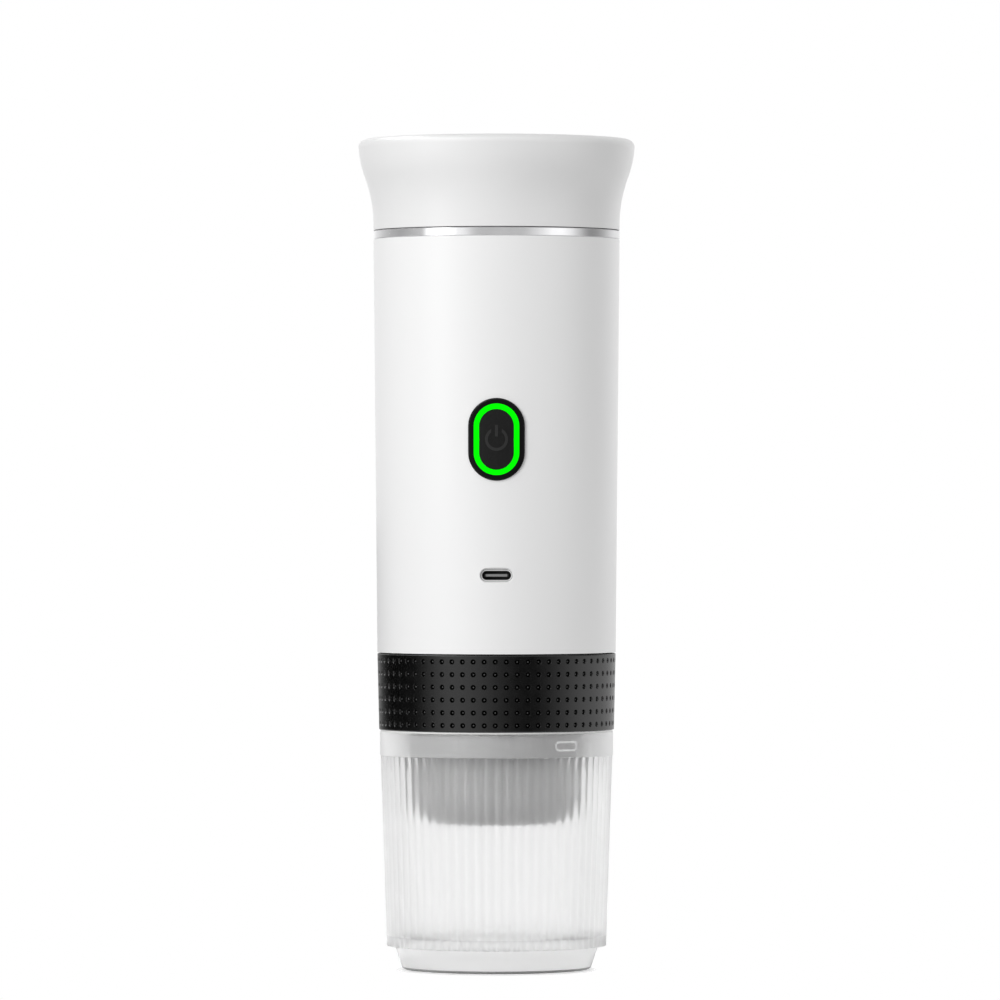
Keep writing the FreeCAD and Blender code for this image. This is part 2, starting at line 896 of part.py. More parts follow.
def body_shell():
    """White tapered tube with openings for the button and the charging port."""
    wall = body_cone(0).cut(body_cone(-body_wall))
    rebate = cylinder(body_bottom_r - head_flange_wall, body_z, head_top_z)
    shrink = 2 * bezel_step - 2 * slip_gap
    window = lozenge(
        bezel_w - shrink, bezel_h - shrink, front_y - window_reach, front_y + window_reach, button_z
    )
    hole_w = usb_w + 2 * usb_hole_gap
    hole_h = usb_h + 2 * usb_hole_gap
    face_y = -body_r(usb_z)
    port = lozenge(hole_w, hole_h, face_y - window_reach, face_y + window_reach, usb_z)
    flare_w = 4 * usb_bevel_gap
    bevel = Part.makeLoft([
        lozenge_wire(hole_w + flare_w, hole_h + flare_w, face_y - usb_bevel_depth, usb_z),
        lozenge_wire(hole_w, hole_h, face_y + usb_bevel_depth, usb_z),
    ], True, True)
    return wall.cut([rebate, window, port, bevel])


def trim_ring():
    """Chromed ring between body and lid, with a skirt glued inside the body."""
    inner_r = neck_bore_r + neck_wall + trim_lip
    skirt_r = body_top_r - body_wall - slip_gap
    return turned([
        (inner_r, body_top_z),
        (skirt_r - trim_skirt_wall, body_top_z),
        (skirt_r - trim_skirt_wall, neck_flange_z),
        (skirt_r, neck_flange_z),
        (skirt_r, body_top_z),
        (body_top_r - edge_r / 2, body_top_z),
        (body_top_r, body_top_z + edge_r / 2),
        (body_top_r, trim_top_z - edge_r / 2),
        (body_top_r - edge_r / 2, trim_top_z),
        (inner_r, trim_top_z),
    ])


def tank_neck():
    """Plastic neck over the tank's rim, threaded inside for the lid."""
    flange_r = body_top_r - body_wall - open_gap
    body = turned([
        (neck_bore_r, neck_z),
        (flange_r, neck_z),
        (flange_r, neck_flange_z),
        (neck_bore_r + neck_wall, neck_flange_z),
        (neck_bore_r + neck_wall, neck_top_z),
        (neck_bore_r, neck_top_z),
    ])
    return threaded(body, neck_bore_r, -1, neck_thread_z, neck_thread_h)


def tank_gasket():
    """Flat silicone ring between the tank's rim and the neck."""
    return tube(tank_rim_r, tank_r + open_gap, tank_rim_z, neck_z)


def water_tank():
    """Deep-drawn steel cup with a turned-out rim and an outlet barb."""
    inner_corner_r = tank_corner_r - tank_wall
    corner_z = tank_z + tank_corner_r
    flat_r = tank_r - tank_corner_r
    body = turned([
        (0, tank_z),
        (flat_r, tank_z),
        corner(flat_r, corner_z, tank_corner_r, -90, 0),
        (tank_r, tank_rim_z - tank_wall),
        (tank_rim_r, tank_rim_z - tank_wall),
        (tank_rim_r, tank_rim_z),
        (tank_r - tank_wall, tank_rim_z),
        (tank_r - tank_wall, corner_z),
        corner(flat_r, corner_z, inner_corner_r, 0, -90),
        (0, tank_z + tank_wall),
    ])
    outlet = cylinder(barb_r, tank_z - tank_barb_len, tank_z + tank_wall, hose_x, port_y)
    bore = cylinder(barb_bore_r, tank_z - tank_barb_len, tank_z + tank_wall, hose_x, port_y)
    return fused([body, outlet]).cut(bore)


def tank_filter():
    """Small cap of fine mesh over the tank's outlet."""
    z = tank_z + tank_wall
    cap = cylinder(filter_r, z, z + filter_h, hose_x, port_y)
    room = cylinder(filter_r - tank_wall, z, z + filter_h - tank_wall, hose_x, port_y)
    return cap.cut(room)


def tank_pad():
    """Silicone ring that the tank sits on."""
    return tube(tank_pad_r, tank_pad_in_r, frame_end_z, tank_z)


def heater_band():
    """Film heater wrapped round the tank, with a tab for its leads."""
    low_z = tank_z + heater_margin
    band = tube(tank_r + heater_t, tank_r, low_z, tank_rim_z - tank_wall - heater_margin)
    ring = tube(tank_r + heater_t, tank_r, tank_z, low_z + heater_margin)
    tab = block(
        0, tank_rim_r, -heater_tab_w / 2, heater_tab_w / 2, tank_z, low_z + heater_margin
    )
    tab.rotate(ORIGIN, UP, heater_tab_deg)
    return fused([band, tab.common(ring)])


def tank_insulation():
    """Fibre sleeve round the heater."""
    inner_r = tank_r + heater_t + insulation_gap
    low_z = tank_z + insulation_margin
    return tube(inner_r + insulation_t, inner_r, low_z, tank_rim_z - tank_wall - insulation_margin)


def thermostat():
    """Thermal cut-out clipped under the tank, with two blade terminals."""
    body = cylinder(thermostat_r, tank_z - thermostat_h, tank_z, 0, thermostat_y)
    blades = []
    for side in (-1, 1):
        x = side * thermostat_blade_x
        blades.append(block(
            x - blade_t / 2, x + blade_t / 2,
            thermostat_y - terminal_w, thermostat_y + terminal_w,
            tank_z - thermostat_h - terminal_h, tank_z - thermostat_h,
        ))
    return fused([body] + blades)


def temperature_probe():
    """Sensor bead pressed against the tank's floor."""
    x, y = polar(probe_circle_r, probe_deg)
    return cylinder(probe_r, tank_z - probe_h, tank_z, x, y)


def pillar_bars(radius, z0, z1):
    """Round bars on the four pillar axes."""
    bars = []
    for angle in pillar_angles:
        x, y = polar(pillar_circle_r, angle)
        bars.append(cylinder(radius, z0, z1, x, y))
    return bars


def frame_base():
    """Lower carrier: plate, hollow pillars, cell sockets and slots for the board."""
    plate_r = body_bottom_r - body_wall - open_gap
    solids = [cylinder(plate_r, frame_z, frame_floor_z)]
    solids += pillar_bars(pillar_r, frame_z, frame_top_z)
    solids += cell_rings(frame_floor_z, frame_floor_z + cell_ring_h)
    solids += board_rails(frame_floor_z, frame_floor_z + rail_h)
    body = solids[0].multiFuse(solids[1:]).common(cylinder(plate_r, frame_z, frame_top_z))
    cuts = pillar_bars(bolt_clear_r, frame_z, frame_top_z)
    cuts += strap_shapes(frame_floor_z, frame_floor_z + strap_t + strap_room, strap_room)
    cuts.append(cylinder(hose_r + hose_hole_gap, frame_z, frame_floor_z, -hose_x, port_y))
    return body.cut(cuts).removeSplitter()


def frame_top():
    """Upper carrier: plate, cell sockets, board slots and a sleeve round the motor's top."""
    plate_r = body_r(frame_top_z) - body_wall - open_gap
    rings = cell_rings(frame_top_z - cell_ring_h, frame_top_z)
    rails = board_rails(frame_top_z - rail_h, frame_top_z)
    rooms = pillar_bars(pillar_r + open_gap, frame_top_z - rail_h, frame_top_z)
    rooms += strap_shapes(cell_top_z - strap_room, frame_top_z, strap_room)
    sleeve_r = motor_r + open_gap
    sleeve_z = motor_top_z - endbell_h
    sleeve = tube(sleeve_r + cell_ring_w, sleeve_r, sleeve_z, frame_top_z, 0, motor_y)
    sleeve_out_r = sleeve_r + cell_ring_w
    notch = block(
        -sleeve_notch_w / 2, sleeve_notch_w / 2, motor_y - sleeve_out_r, motor_y + sleeve_out_r,
        sleeve_z, frame_top_z - frame_plate_h,
    )
    solids = [part.cut(rooms) for part in rings + rails] + [sleeve.cut(notch)]
    body = cylinder(plate_r, frame_top_z, frame_end_z).multiFuse(solids)
    body = body.common(cylinder(plate_r, sleeve_z, frame_end_z))
    lead_x, lead_y = heater_lead_place(0)
    probe_x, probe_y = polar(probe_circle_r, probe_deg)
    cuts = pillar_bars(bolt_clear_r, frame_top_z, frame_end_z)
    cuts.append(cylinder(thermostat_r + hose_hole_gap, frame_top_z, frame_end_z, 0, thermostat_y))
    cuts.append(cylinder(probe_r + slip_gap, frame_top_z, frame_end_z, probe_x, probe_y))
    cuts.append(cylinder(hose_r + hose_hole_gap, frame_top_z, frame_end_z, hose_x, port_y))
    cuts.append(cylinder(lead_hole_r, frame_top_z, frame_end_z, lead_x, lead_y))
    bezel_room_y = front_y + bezel_depth + open_gap
    cuts.append(lozenge(bezel_w, bezel_h + open_gap, front_y, bezel_room_y, button_z))
    return body.cut(cuts).removeSplitter()


def cell_rings(z0, z1):
    """Socket walls round the ends of the battery cells, open towards the pump."""
    walls = []
    for angle in cell_angles:
        x, y = polar(cell_circle_r, angle)
        walls.append(cylinder(cell_r + cell_gap + cell_ring_w, z0, z1, x, y))
    rooms = [cylinder(strap_in_r, z0, z1)]
    for angle in cell_angles:
        x, y = polar(cell_circle_r, angle)
        rooms.append(cylinder(cell_r + cell_gap, z0, z1, x, y))
    return walls[0].multiFuse(walls[1:]).cut(rooms).Solids


def board_rails(z0, z1):
    """Slotted rails that hold the board's edges."""
    rails = []
    rail_x = board_w / 2 - rail_lap
    slot_x = board_w / 2 + board_slot_gap
    for side in (-1, 1):
        outer = side * (rail_x + rail_w)
        inner = side * rail_x
        rail = block(
            min(outer, inner), max(outer, inner), board_y - rail_lip, board_y + board_t + rail_lip, z0, z1
        )
        slot = block(
            min(side * slot_x, 0), max(side * slot_x, 0),
            board_y - board_slot_gap, board_y + board_t + board_slot_gap, z0, z1,
        )
        rails.append(rail.cut(slot))
    return rails


def battery_cells():
    """Three round lithium cells with a raised positive end."""
    cells = []
    for angle in cell_angles:
        x, y = polar(cell_circle_r, angle)
        can = cylinder(cell_r, cell_z, cell_top_z - cell_button_h, x, y)
        button = cylinder(cell_button_r, cell_top_z - cell_button_h, cell_top_z, x, y)
        cells.append(fused([can, button]))
    return group(cells)


def strap_shapes(z0, z1, margin):
    """Curved strip across the three cells with a round pad on each, grown by a margin."""
    first_y = polar(strap_in_r, cell_angles[0])[1]
    strip = tube(strap_out_r + margin, strap_in_r - margin, z0, z1)
    reach = strap_out_r + margin
    half = block(-reach, reach, first_y - margin, reach, z0, z1)
    shapes = [strip.common(half)]
    for angle in cell_angles:
        x, y = polar(cell_circle_r, angle)
        shapes.append(cylinder(strap_pad_r + margin, z0, z1, x, y))
    return shapes


def cell_straps():
    """Nickel straps on both ends of the cells, each with a tab for its lead."""
    straps = []
    for z, angle in ((frame_floor_z, cell_angles[2]), (cell_top_z, cell_angles[0])):
        tab = block(strap_tab_r, strap_out_r, -strap_tab_w / 2, strap_tab_w / 2, z, z + strap_t)
        tab.rotate(ORIGIN, UP, angle)
        straps.append(fused(strap_shapes(z, z + strap_t, 0) + [tab]))
    return group(straps)


def pump_damper():
    """Silicone cup that the pump stands in, to keep its noise from the frame."""
    outer = pump_bar(pump_r + damper_wall, frame_floor_z, frame_floor_z + damper_h)
    room = pump_bar(pump_r, pump_z, frame_floor_z + damper_h)
    reach = pump_r + damper_wall
    ports = Part.makeCylinder(
        barb_flange_r + open_gap, 2 * reach, vec(-reach, port_y, port_z), RIGHT
    )
    return outer.cut([room, ports])


def pump_screw_places():
    """Screw centres beside each gear, away from the ports."""
    reach = pump_screw_circle_r * math.sqrt(0.5)
    return [
        (side * reach, y)
        for side in (-1, 1)
        for y in (motor_y - reach, idler_y + reach)
    ]


def pump_cover():
    """Steel plate that closes the gear room."""
    body = pump_bar(pump_r, pump_z, housing_z)
    cuts = [cylinder(idler_pin_r, housing_z - idler_pin_sink, housing_z, 0, idler_y)]
    for x, y in pump_screw_places():
        cuts.append(cylinder(pump_screw_r, pump_z, housing_z, x, y))
        cuts.append(cylinder(pump_screw_head_r, pump_z, pump_z + pump_screw_head_h, x, y))
    return body.cut(cuts)


def pump_screws():
    """Countersunk screws of the pump cover."""
    screws = []
    for x, y in pump_screw_places():
        head = cylinder(pump_screw_head_r, pump_z, pump_z + pump_screw_head_h, x, y)
        shank = cylinder(pump_screw_r, pump_z, pump_z + pump_screw_len, x, y)
        socket = cylinder(pump_socket_r, pump_z, pump_z + pump_screw_head_h / 2, x, y)
        screws.append(fused([head, shank]).cut(socket))
    return group(screws)


def gear_housing():
    """Pump body: room for two gears, ports at their mesh and a round flange for the motor."""
    body = fused([
        pump_bar(pump_r, housing_z, motor_z),
        cylinder(motor_r, flange_z, motor_z, 0, motor_y),
    ])
    cuts = [
        cylinder(gear_room_r, housing_z, room_top_z, 0, motor_y),
        cylinder(gear_room_r, housing_z, room_top_z, 0, idler_y),
        cylinder(idler_pin_r, room_top_z, room_top_z + idler_pin_sink, 0, idler_y),
        cylinder(shaft_r + running_gap, room_top_z, flange_z, 0, motor_y),
        cylinder(shaft_seal_r, flange_z, motor_z, 0, motor_y),
        Part.makeCylinder(pump_port_r, 2 * pump_r, vec(-pump_r, port_y, port_z), RIGHT),
    ]
    for x, y in pump_screw_places():
        cuts.append(cylinder(pump_screw_r, housing_z, pump_z + pump_screw_len, x, y))
    for side in (-1, 1):
        cuts.append(cylinder(bolt_r, flange_z, motor_z, side * motor_screw_x, motor_y))
    return body.cut(cuts)


def involute_gear(x, y, turn_deg, bore_r):
    """Spur gear with involute flanks, turned so that it meshes with its partner."""
    base_r = gear_pitch_r * math.cos(math.radians(gear_pressure_deg))
    pitch_roll = math.tan(math.radians(gear_pressure_deg)) - math.radians(gear_pressure_deg)
    half_tooth = math.pi / 2 / gear_teeth - gear_backlash / gear_pitch_r
    flank = [(gear_root_r, half_tooth + pitch_roll)]
    flank_steps = 5
    for index in range(flank_steps + 1):
        radius = base_r + (gear_tip_r - base_r) * index / flank_steps
        angle = math.acos(base_r / radius)
        flank.append((radius, half_tooth + pitch_roll - math.tan(angle) + angle))
    outline = []
    for tooth in range(gear_teeth):
        centre = 2 * math.pi * tooth / gear_teeth + math.radians(turn_deg)
        for radius, offset in flank:
            outline.append(vec(radius * math.cos(centre - offset), radius * math.sin(centre - offset), 0))
        for radius, offset in reversed(flank):
            outline.append(vec(radius * math.cos(centre + offset), radius * math.sin(centre + offset), 0))
    face = Part.Face(Part.makePolygon(outline + [outline[0]]))
    gear = face.extrude(vec(0, 0, gear_h))
    gear.translate(vec(x, y, gear_z))
    return gear.cut(cylinder(bore_r, gear_z, gear_top_z, x, y))


def drive_gear():
    """Gear pressed on the motor's shaft, with a tooth towards the idler."""
    return involute_gear(0, motor_y, 90, shaft_r)


def idler_gear():
    """Gear on the fixed pin, with a gap towards the drive gear."""
    return involute_gear(0, idler_y, -90 + 180 / gear_teeth, idler_pin_r + running_gap)


def idler_pin():
    """Fixed pin of the idler gear."""
    return cylinder(idler_pin_r, housing_z - idler_pin_sink, room_top_z + idler_pin_sink, 0, idler_y)


def shaft_seal():
    """Lip seal round the motor's shaft, above the gear room."""
    return tube(shaft_seal_r, shaft_r + running_gap, flange_z, motor_z, 0, motor_y)


def pump_fittings():
    """Hose barbs in the pump's two ports."""
    barbs = []
    for side in (-1, 1):
        direction = vec(side, 0, 0)
        face = vec(side * pump_r, port_y, port_z)
        flange = Part.makeCylinder(barb_flange_r, barb_flange_h, face, direction)
        stem = Part.makeCylinder(barb_r, barb_flange_h + barb_len, face, direction)
        bore = Part.makeCylinder(barb_bore_r, barb_flange_h + barb_len, face, direction)
        barbs.append(fused([flange, stem]).cut(bore))
    return group(barbs)


def motor_can():
    """Drawn steel can of the motor."""
    can = tube(motor_r, motor_r - motor_wall, motor_z, motor_top_z, 0, motor_y)
    base = tube(motor_r, bearing_r, motor_z, motor_z + motor_base_h, 0, motor_y)
    cuts = []
    for side in (-1, 1):
        cuts.append(cylinder(bolt_r, motor_z, motor_z + motor_base_h, side * motor_screw_x, motor_y))
    return fused([can, base]).cut(cuts)


def motor_screws():
    """Screws up through the pump's flange into the motor."""
    screws = []
    for side in (-1, 1):
        x = side * motor_screw_x
        head = cylinder(motor_screw_head_r, flange_z - bolt_head_h, flange_z, x, motor_y)
        shank = cylinder(bolt_r, flange_z, flange_z + motor_screw_len, x, motor_y)
        screws.append(fused([head, shank]))
    return group(screws)


def motor_magnets():
    """Two curved magnets inside the can."""
    z = motor_z + magnet_base_gap
    half_w = magnet_split_w / 2
    ring = tube(motor_r - motor_wall, magnet_in_r, z, z + magnet_h, 0, motor_y)
    return ring.cut(block(-half_w, half_w, motor_y - motor_r, motor_y + motor_r, z, z + magnet_h))


def motor_bearings():
    """Sintered bushes at both ends of the motor's shaft."""
    lower = tube(bearing_r, shaft_r + running_gap, motor_z, motor_z + bearing_h, 0, motor_y)
    upper_z = motor_top_z - bearing_h
    upper = tube(bearing_r, shaft_r + running_gap, upper_z, motor_top_z, 0, motor_y)
    return group([lower, upper])


def motor_endbell():
    """Plastic cap of the motor with its two terminals."""
    low_z = motor_top_z - endbell_h
    disc = tube(motor_r - motor_wall, bearing_r, low_z, motor_top_z, 0, motor_y)
    blades = []
    for side in (-1, 1):
        x = side * terminal_x
        blades.append(block(
            x - blade_t / 2, x + blade_t / 2, motor_y - terminal_w / 2, motor_y + terminal_w / 2,
            motor_top_z, motor_top_z + terminal_h,
        ))
    return fused([disc] + blades)


def motor_rotor():
    """Shaft, laminated core and commutator."""
    core_z = motor_z + rotor_base_gap
    core_top_z = core_z + rotor_core_h
    return fused([
        cylinder(shaft_r, gear_z, motor_top_z, 0, motor_y),
        cylinder(rotor_core_r, core_z, core_top_z, 0, motor_y),
        cylinder(commutator_r, core_top_z, core_top_z + commutator_h, 0, motor_y),
    ])


def hose(points):
    """Silicone hose along a bent route, bored to fit its barbs."""
    path = rounded_path(points, bend_r=hose_bend_r)
    return swept(path, hose_r).cut(swept(path, barb_r + hose_fit))


def suction_hose():
    """Hose from the tank's outlet down to the pump."""
    return hose([
        vec(hose_x, port_y, tank_z - open_gap),
        vec(hose_x, port_y, port_z),
        vec(pump_r + barb_flange_h, port_y, port_z),
    ])


def pressure_hose():
    """Hose from the pump down to the brew head."""
    return hose([
        vec(-pump_r - barb_flange_h, port_y, port_z),
        vec(-hose_x, port_y, port_z),
        vec(-hose_x, port_y, head_top_z),
    ])


def control_board():
    """Circuit board behind the front wall."""
    return block(
        -board_w / 2, board_w / 2, board_y, board_y + board_t,
        frame_floor_z + board_end_gap, frame_top_z - board_end_gap,
    )


def board_parts():
    """Controller, driver, inductor and connectors on the board's back."""
    face_y = board_y + board_t
    parts = []
    for x, rise, width, height, depth in board_part_sizes:
        z = frame_floor_z + rise
        parts.append(block(
            x - width / 2, x + width / 2, face_y, face_y + depth, z - height / 2, z + height / 2
        ))
    return group(parts)


def usb_port():
    """Charging socket: steel shell, plastic back and contact tongue."""
    mouth_y = board_y - usb_len
    shell = lozenge(usb_w, usb_h, mouth_y, board_y, usb_z)
    room = lozenge(usb_w - 2 * usb_wall, usb_h - 2 * usb_wall, mouth_y, board_y - usb_back, usb_z)
    tongue = block(
        -usb_tongue_w / 2, usb_tongue_w / 2, mouth_y + usb_tongue_shy, board_y - usb_back,
        usb_z - usb_tongue_t / 2, usb_z + usb_tongue_t / 2,
    )
    return fused([shell.cut(room), tongue])


def tact_switch():
    """Switch under the button, with the bore of its plunger."""
    half = switch_w / 2
    body = block(-half, half, switch_y, board_y, button_z - half, button_z + half)
    bore = Part.makeCylinder(
        plunger_r + running_gap, plunger_sink, vec(0, switch_y, button_z), BACK
    )
    return body.cut(bore)


def switch_plunger():
    """Plunger that the button pushes into the switch."""
    length = switch_y + plunger_sink - button_travel - slip_gap - button_back_y
    return Part.makeCylinder(plunger_r, length, vec(0, button_back_y, button_z), BACK)


def status_leds():
    """Six green lights behind the light ring."""
    leds = []
    for side in (-1, 1):
        for rise in (-led_rise, 0, led_rise):
            x = side * led_x
            z = button_z + rise
            leds.append(block(
                x - led_w / 2, x + led_w / 2, board_y - led_t, board_y, z - led_h / 2, z + led_h / 2
            ))
    return group(leds)


def light_ring():
    """Clear guide that glows round the button."""
    outer = lozenge(light_w, light_h, front_y - bezel_proud, light_back_y, button_z)
    hole = lozenge(
        light_w - 2 * light_wall, light_h - 2 * light_wall, front_y - bezel_proud, light_back_y, button_z
    )
    return outer.common(body_cone(bezel_proud - light_shy)).cut(hole)


def rounded_front(shape, radius):
    """Rounds the edge of a shape's curved front face."""
    curved = [face for face in shape.Faces if face.Surface.TypeId == "Part::GeomCone"]
    front = max(curved, key=lambda face: face.Area)
    return shape.makeFillet(radius, front.Edges)


def button_bezel():
    """Black frame that follows the body's curve and plugs into its window."""
    proud = body_cone(bezel_proud)
    flange = lozenge(bezel_w, bezel_h, front_y - bezel_proud, front_y + bezel_depth, button_z)
    flange = rounded_front(flange.common(proud), bezel_round_r).cut(body_cone(0))
    neck = lozenge(
        bezel_w - 2 * bezel_step, bezel_h - 2 * bezel_step,
        front_y - bezel_proud, front_y + bezel_depth, button_z,
    )
    hole = lozenge(light_w, light_h, front_y - 2 * bezel_proud, front_y + bezel_depth, button_z)
    return fused([flange, neck.common(proud)]).cut(hole)


def power_button():
    """Button cap with a raised standby mark, a stem and two tabs behind the light ring."""
    reach_y = front_y - 2 * bezel_proud
    face = body_cone(bezel_proud - light_shy)
    cap = lozenge(button_w, button_h, reach_y, light_back_y, button_z).common(face)
    room = lozenge(
        button_w - 2 * button_wall, button_h - 2 * button_wall,
        front_y + button_wall, button_back_y, button_z,
    )
    stem = Part.makeCylinder(
        button_stem_r, button_back_y - front_y - button_wall / 2,
        vec(0, front_y + button_wall / 2, button_z), BACK,
    )
    tab_z = light_h / 2 - button_gap
    tab = block(
        -button_tab_w / 2, button_tab_w / 2, light_back_y, button_back_y,
        button_z - tab_z, button_z + tab_z,
    )
    tab_room = lozenge(
        button_w - 2 * button_wall, button_h - 2 * button_wall, light_back_y, button_back_y, button_z
    )
    mark = standby_mark(reach_y).common(body_cone(bezel_proud - light_shy + mark_proud))
    return fused([cap.cut(room), tab.cut(tab_room), stem, mark])


def standby_mark(y):
    """Broken ring with a bar at its top."""
    depth = front_y - y
    ring = Part.makeCylinder(mark_r, depth, vec(0, y, button_z), BACK).cut(
        Part.makeCylinder(mark_r - mark_stroke, depth, vec(0, y, button_z), BACK)
    )
    gap = block(-mark_gap_w / 2, mark_gap_w / 2, y, front_y, button_z, button_z + mark_r)
    bar = block(
        -mark_stroke / 2, mark_stroke / 2, y, front_y,
        button_z + mark_bar_low, button_z + mark_bar_top,
    )
    return group([ring.cut(gap), bar])


def heater_lead_place(offset_deg):
    """Where a heater lead comes down outside the tank."""
    return polar(tank_r + heater_t + wire_r, heater_tab_deg + offset_deg)


def motor_lead(side):
    """Lead from a motor terminal over to the board's back."""
    x = side * terminal_x
    start_z = motor_top_z + terminal_h
    end_z = (start_z + frame_top_z) / 2
    return [
        vec(x, motor_y, start_z),
        vec(x, motor_y, end_z),
        vec(x, board_y + board_t, end_z),
    ]


def heater_lead(side):
    """Lead from the heater's tab down past the board's rail to its back."""
    x, y = heater_lead_place(side * heater_lead_deg)
    low_z = frame_top_z - rail_h
    end_z = low_z - heater_lead_fall + side * heater_lead_split
    return [
        vec(x, y, tank_z + wire_r),
        vec(x, y, low_z - heater_lead_drop),
        vec(heater_lead_x, heater_lead_y, end_z),
        vec(heater_lead_x, board_y + board_t, end_z),
    ]


def battery_lead(side, z, climb):
    """Lead from a strap's tab round the pump to the board's back."""
    tab_x, tab_y = polar(strap_tab_r, cell_angles[0])
    points = [vec(side * tab_x, tab_y, z)]
    for inset, y, rise in battery_lead_route:
        points.append(vec(side * (hose_x - inset), y, z + climb * rise))
    points.append(vec(points[-1].x, board_y + board_t, points[-1].z))
    return points


def wire_leads():
    """Motor, heater and battery leads to the board."""
    routes = [motor_lead(side) for side in (-1, 1)]
    routes += [heater_lead(side) for side in (-1, 1)]
    routes.append(battery_lead(1, cell_top_z - wire_r, -1))
    routes.append(battery_lead(-1, cell_z + wire_r, 1))
    return group([swept(rounded_path(points), wire_r) for points in routes])


def flare(inset):
    """Steps of the lid's outline from its foot to its top, moved in by a wall."""
    start_z = lid_z + flare_start_h
    rise = lid_top_z - start_z
    spread = lid_rim_r - body_top_r
    turn_z = start_z + rise * flare_turn
    turn_r = body_top_r + spread * flare_turn
    radius = ((rise * flare_turn) ** 2 + (spread * flare_turn) ** 2) / (2 * spread * flare_turn)
    sweep = math.degrees(math.asin(rise * flare_turn / radius))
    upper = radius * (1 - flare_turn) / flare_turn
    return [
        (body_top_r - inset, start_z),
        corner(body_top_r - inset + radius, start_z, radius, 180, 180 - sweep),
        corner(lid_rim_r - inset - upper, lid_top_z, upper, -sweep, 0),
    ]


def lid_shell():
    """White flared cap with a rounded rim."""
    outer = turned([(0, lid_z), (body_top_r, lid_z)] + flare(0) + [(0, lid_top_z)])
    rim = [edge for edge in outer.Edges if edge.BoundBox.ZMin > lid_top_z - edge_r]
    rim = [edge for edge in rim if edge.BoundBox.XMax > lid_rim_r - edge_r]
    outer = outer.makeFillet(lid_edge_r, rim)
    inner = turned([(0, lid_z), (body_top_r - lid_wall, lid_z)] + flare(lid_wall) + [(0, lid_top_z)])
    roof = cylinder(lid_rim_r, lid_top_z - lid_wall, lid_top_z)
    return outer.cut(inner.cut(roof))


def lid_liner():
    """Threaded plug under the lid, with the flange that carries the seal."""
    flange_r = body_top_r - lid_wall
    flange_top_z = plug_top_z + liner_flange_h
    body = turned([
        (0, plug_low_z),
        (plug_r, plug_low_z),
        (plug_r, plug_top_z),
        (flange_r, plug_top_z),
        (flange_r, flange_top_z),
        (plug_r - plug_wall, flange_top_z),
        (plug_r - plug_wall, plug_low_z + plug_floor),
        (0, plug_low_z + plug_floor),
    ])
    body = threaded(body, plug_r, 1, lid_thread_z, lid_thread_h)
    return body.cut(cylinder(valve_stem_r, plug_low_z, plug_low_z + plug_floor))


def lid_seal():
    """Silicone ring between the neck's rim and the lid's flange."""
    outer_r = neck_bore_r + neck_wall
    return tube(outer_r, outer_r - neck_wall - seal_ring_in, neck_top_z, plug_top_z)


def vent_valve():
    """Silicone valve that lets air into the tank as the water is drawn."""
    top_z = plug_low_z + plug_floor
    body = fused([
        cylinder(valve_flange_r, top_z, top_z + valve_flange_h),
        cylinder(valve_stem_r, plug_low_z, top_z),
        cylinder(valve_lip_r, plug_low_z - valve_lip_h, plug_low_z),
    ])
    return body.cut(cylinder(valve_bore_r, plug_low_z - valve_lip_h / 2, top_z + valve_flange_h))


PIECES = (
    cup, cup_seal, brew_chamber, grip_collar, outlet_nozzle, coffee_basket,
    brew_head, head_gasket, shower_screen, shower_screw, head_fitting, threaded_inserts, tie_bolts,
    body_shell, trim_ring, tank_neck, tank_gasket, water_tank, tank_filter, tank_pad,
    heater_band, tank_insulation, thermostat, temperature_probe,
    frame_base, frame_top, battery_cells, cell_straps,
    pump_damper, pump_cover, pump_screws, gear_housing, drive_gear, idler_gear, idler_pin,
    shaft_seal, pump_fittings, motor_can, motor_screws, motor_magnets, motor_bearings,
    motor_endbell, motor_rotor, suction_hose, pressure_hose,
    control_board, board_parts, usb_port, tact_switch, switch_plunger, status_leds,
    light_ring, button_bezel, power_button, wire_leads,
    lid_shell, lid_liner, lid_seal, vent_valve,
)

for piece in PIECES:
    save(piece.__name__, piece())
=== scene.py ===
import math

import bmesh
import bpy
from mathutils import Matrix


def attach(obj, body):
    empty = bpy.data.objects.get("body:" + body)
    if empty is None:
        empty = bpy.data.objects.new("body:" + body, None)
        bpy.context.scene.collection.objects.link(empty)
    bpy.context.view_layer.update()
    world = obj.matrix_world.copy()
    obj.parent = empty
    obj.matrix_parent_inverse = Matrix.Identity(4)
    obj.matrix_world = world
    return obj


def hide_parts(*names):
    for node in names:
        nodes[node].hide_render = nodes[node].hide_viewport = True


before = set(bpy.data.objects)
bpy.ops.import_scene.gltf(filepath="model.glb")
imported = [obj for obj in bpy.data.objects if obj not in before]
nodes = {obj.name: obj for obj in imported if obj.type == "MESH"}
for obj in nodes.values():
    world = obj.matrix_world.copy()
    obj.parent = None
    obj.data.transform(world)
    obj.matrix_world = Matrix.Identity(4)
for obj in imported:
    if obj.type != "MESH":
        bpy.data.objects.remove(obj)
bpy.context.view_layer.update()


# Photo table
# The espresso maker stands on a plain white table in a white room. The camera is about
# two metres away and level with the middle of the body, so its sides look nearly straight.

camera = bpy.data.objects.new("table_camera", bpy.data.cameras.new("table_camera"))
camera.data.lens = 267.2
camera.data.sensor_width = 36
camera.data.clip_end = 40
camera.location = (0.001, -2.15, 0.1357)
camera.rotation_euler = (math.radians(90), 0, 0)
bpy.context.scene.collection.objects.link(camera)
bpy.context.scene.camera = camera
bpy.context.scene.view_settings.view_transform = "Standard"


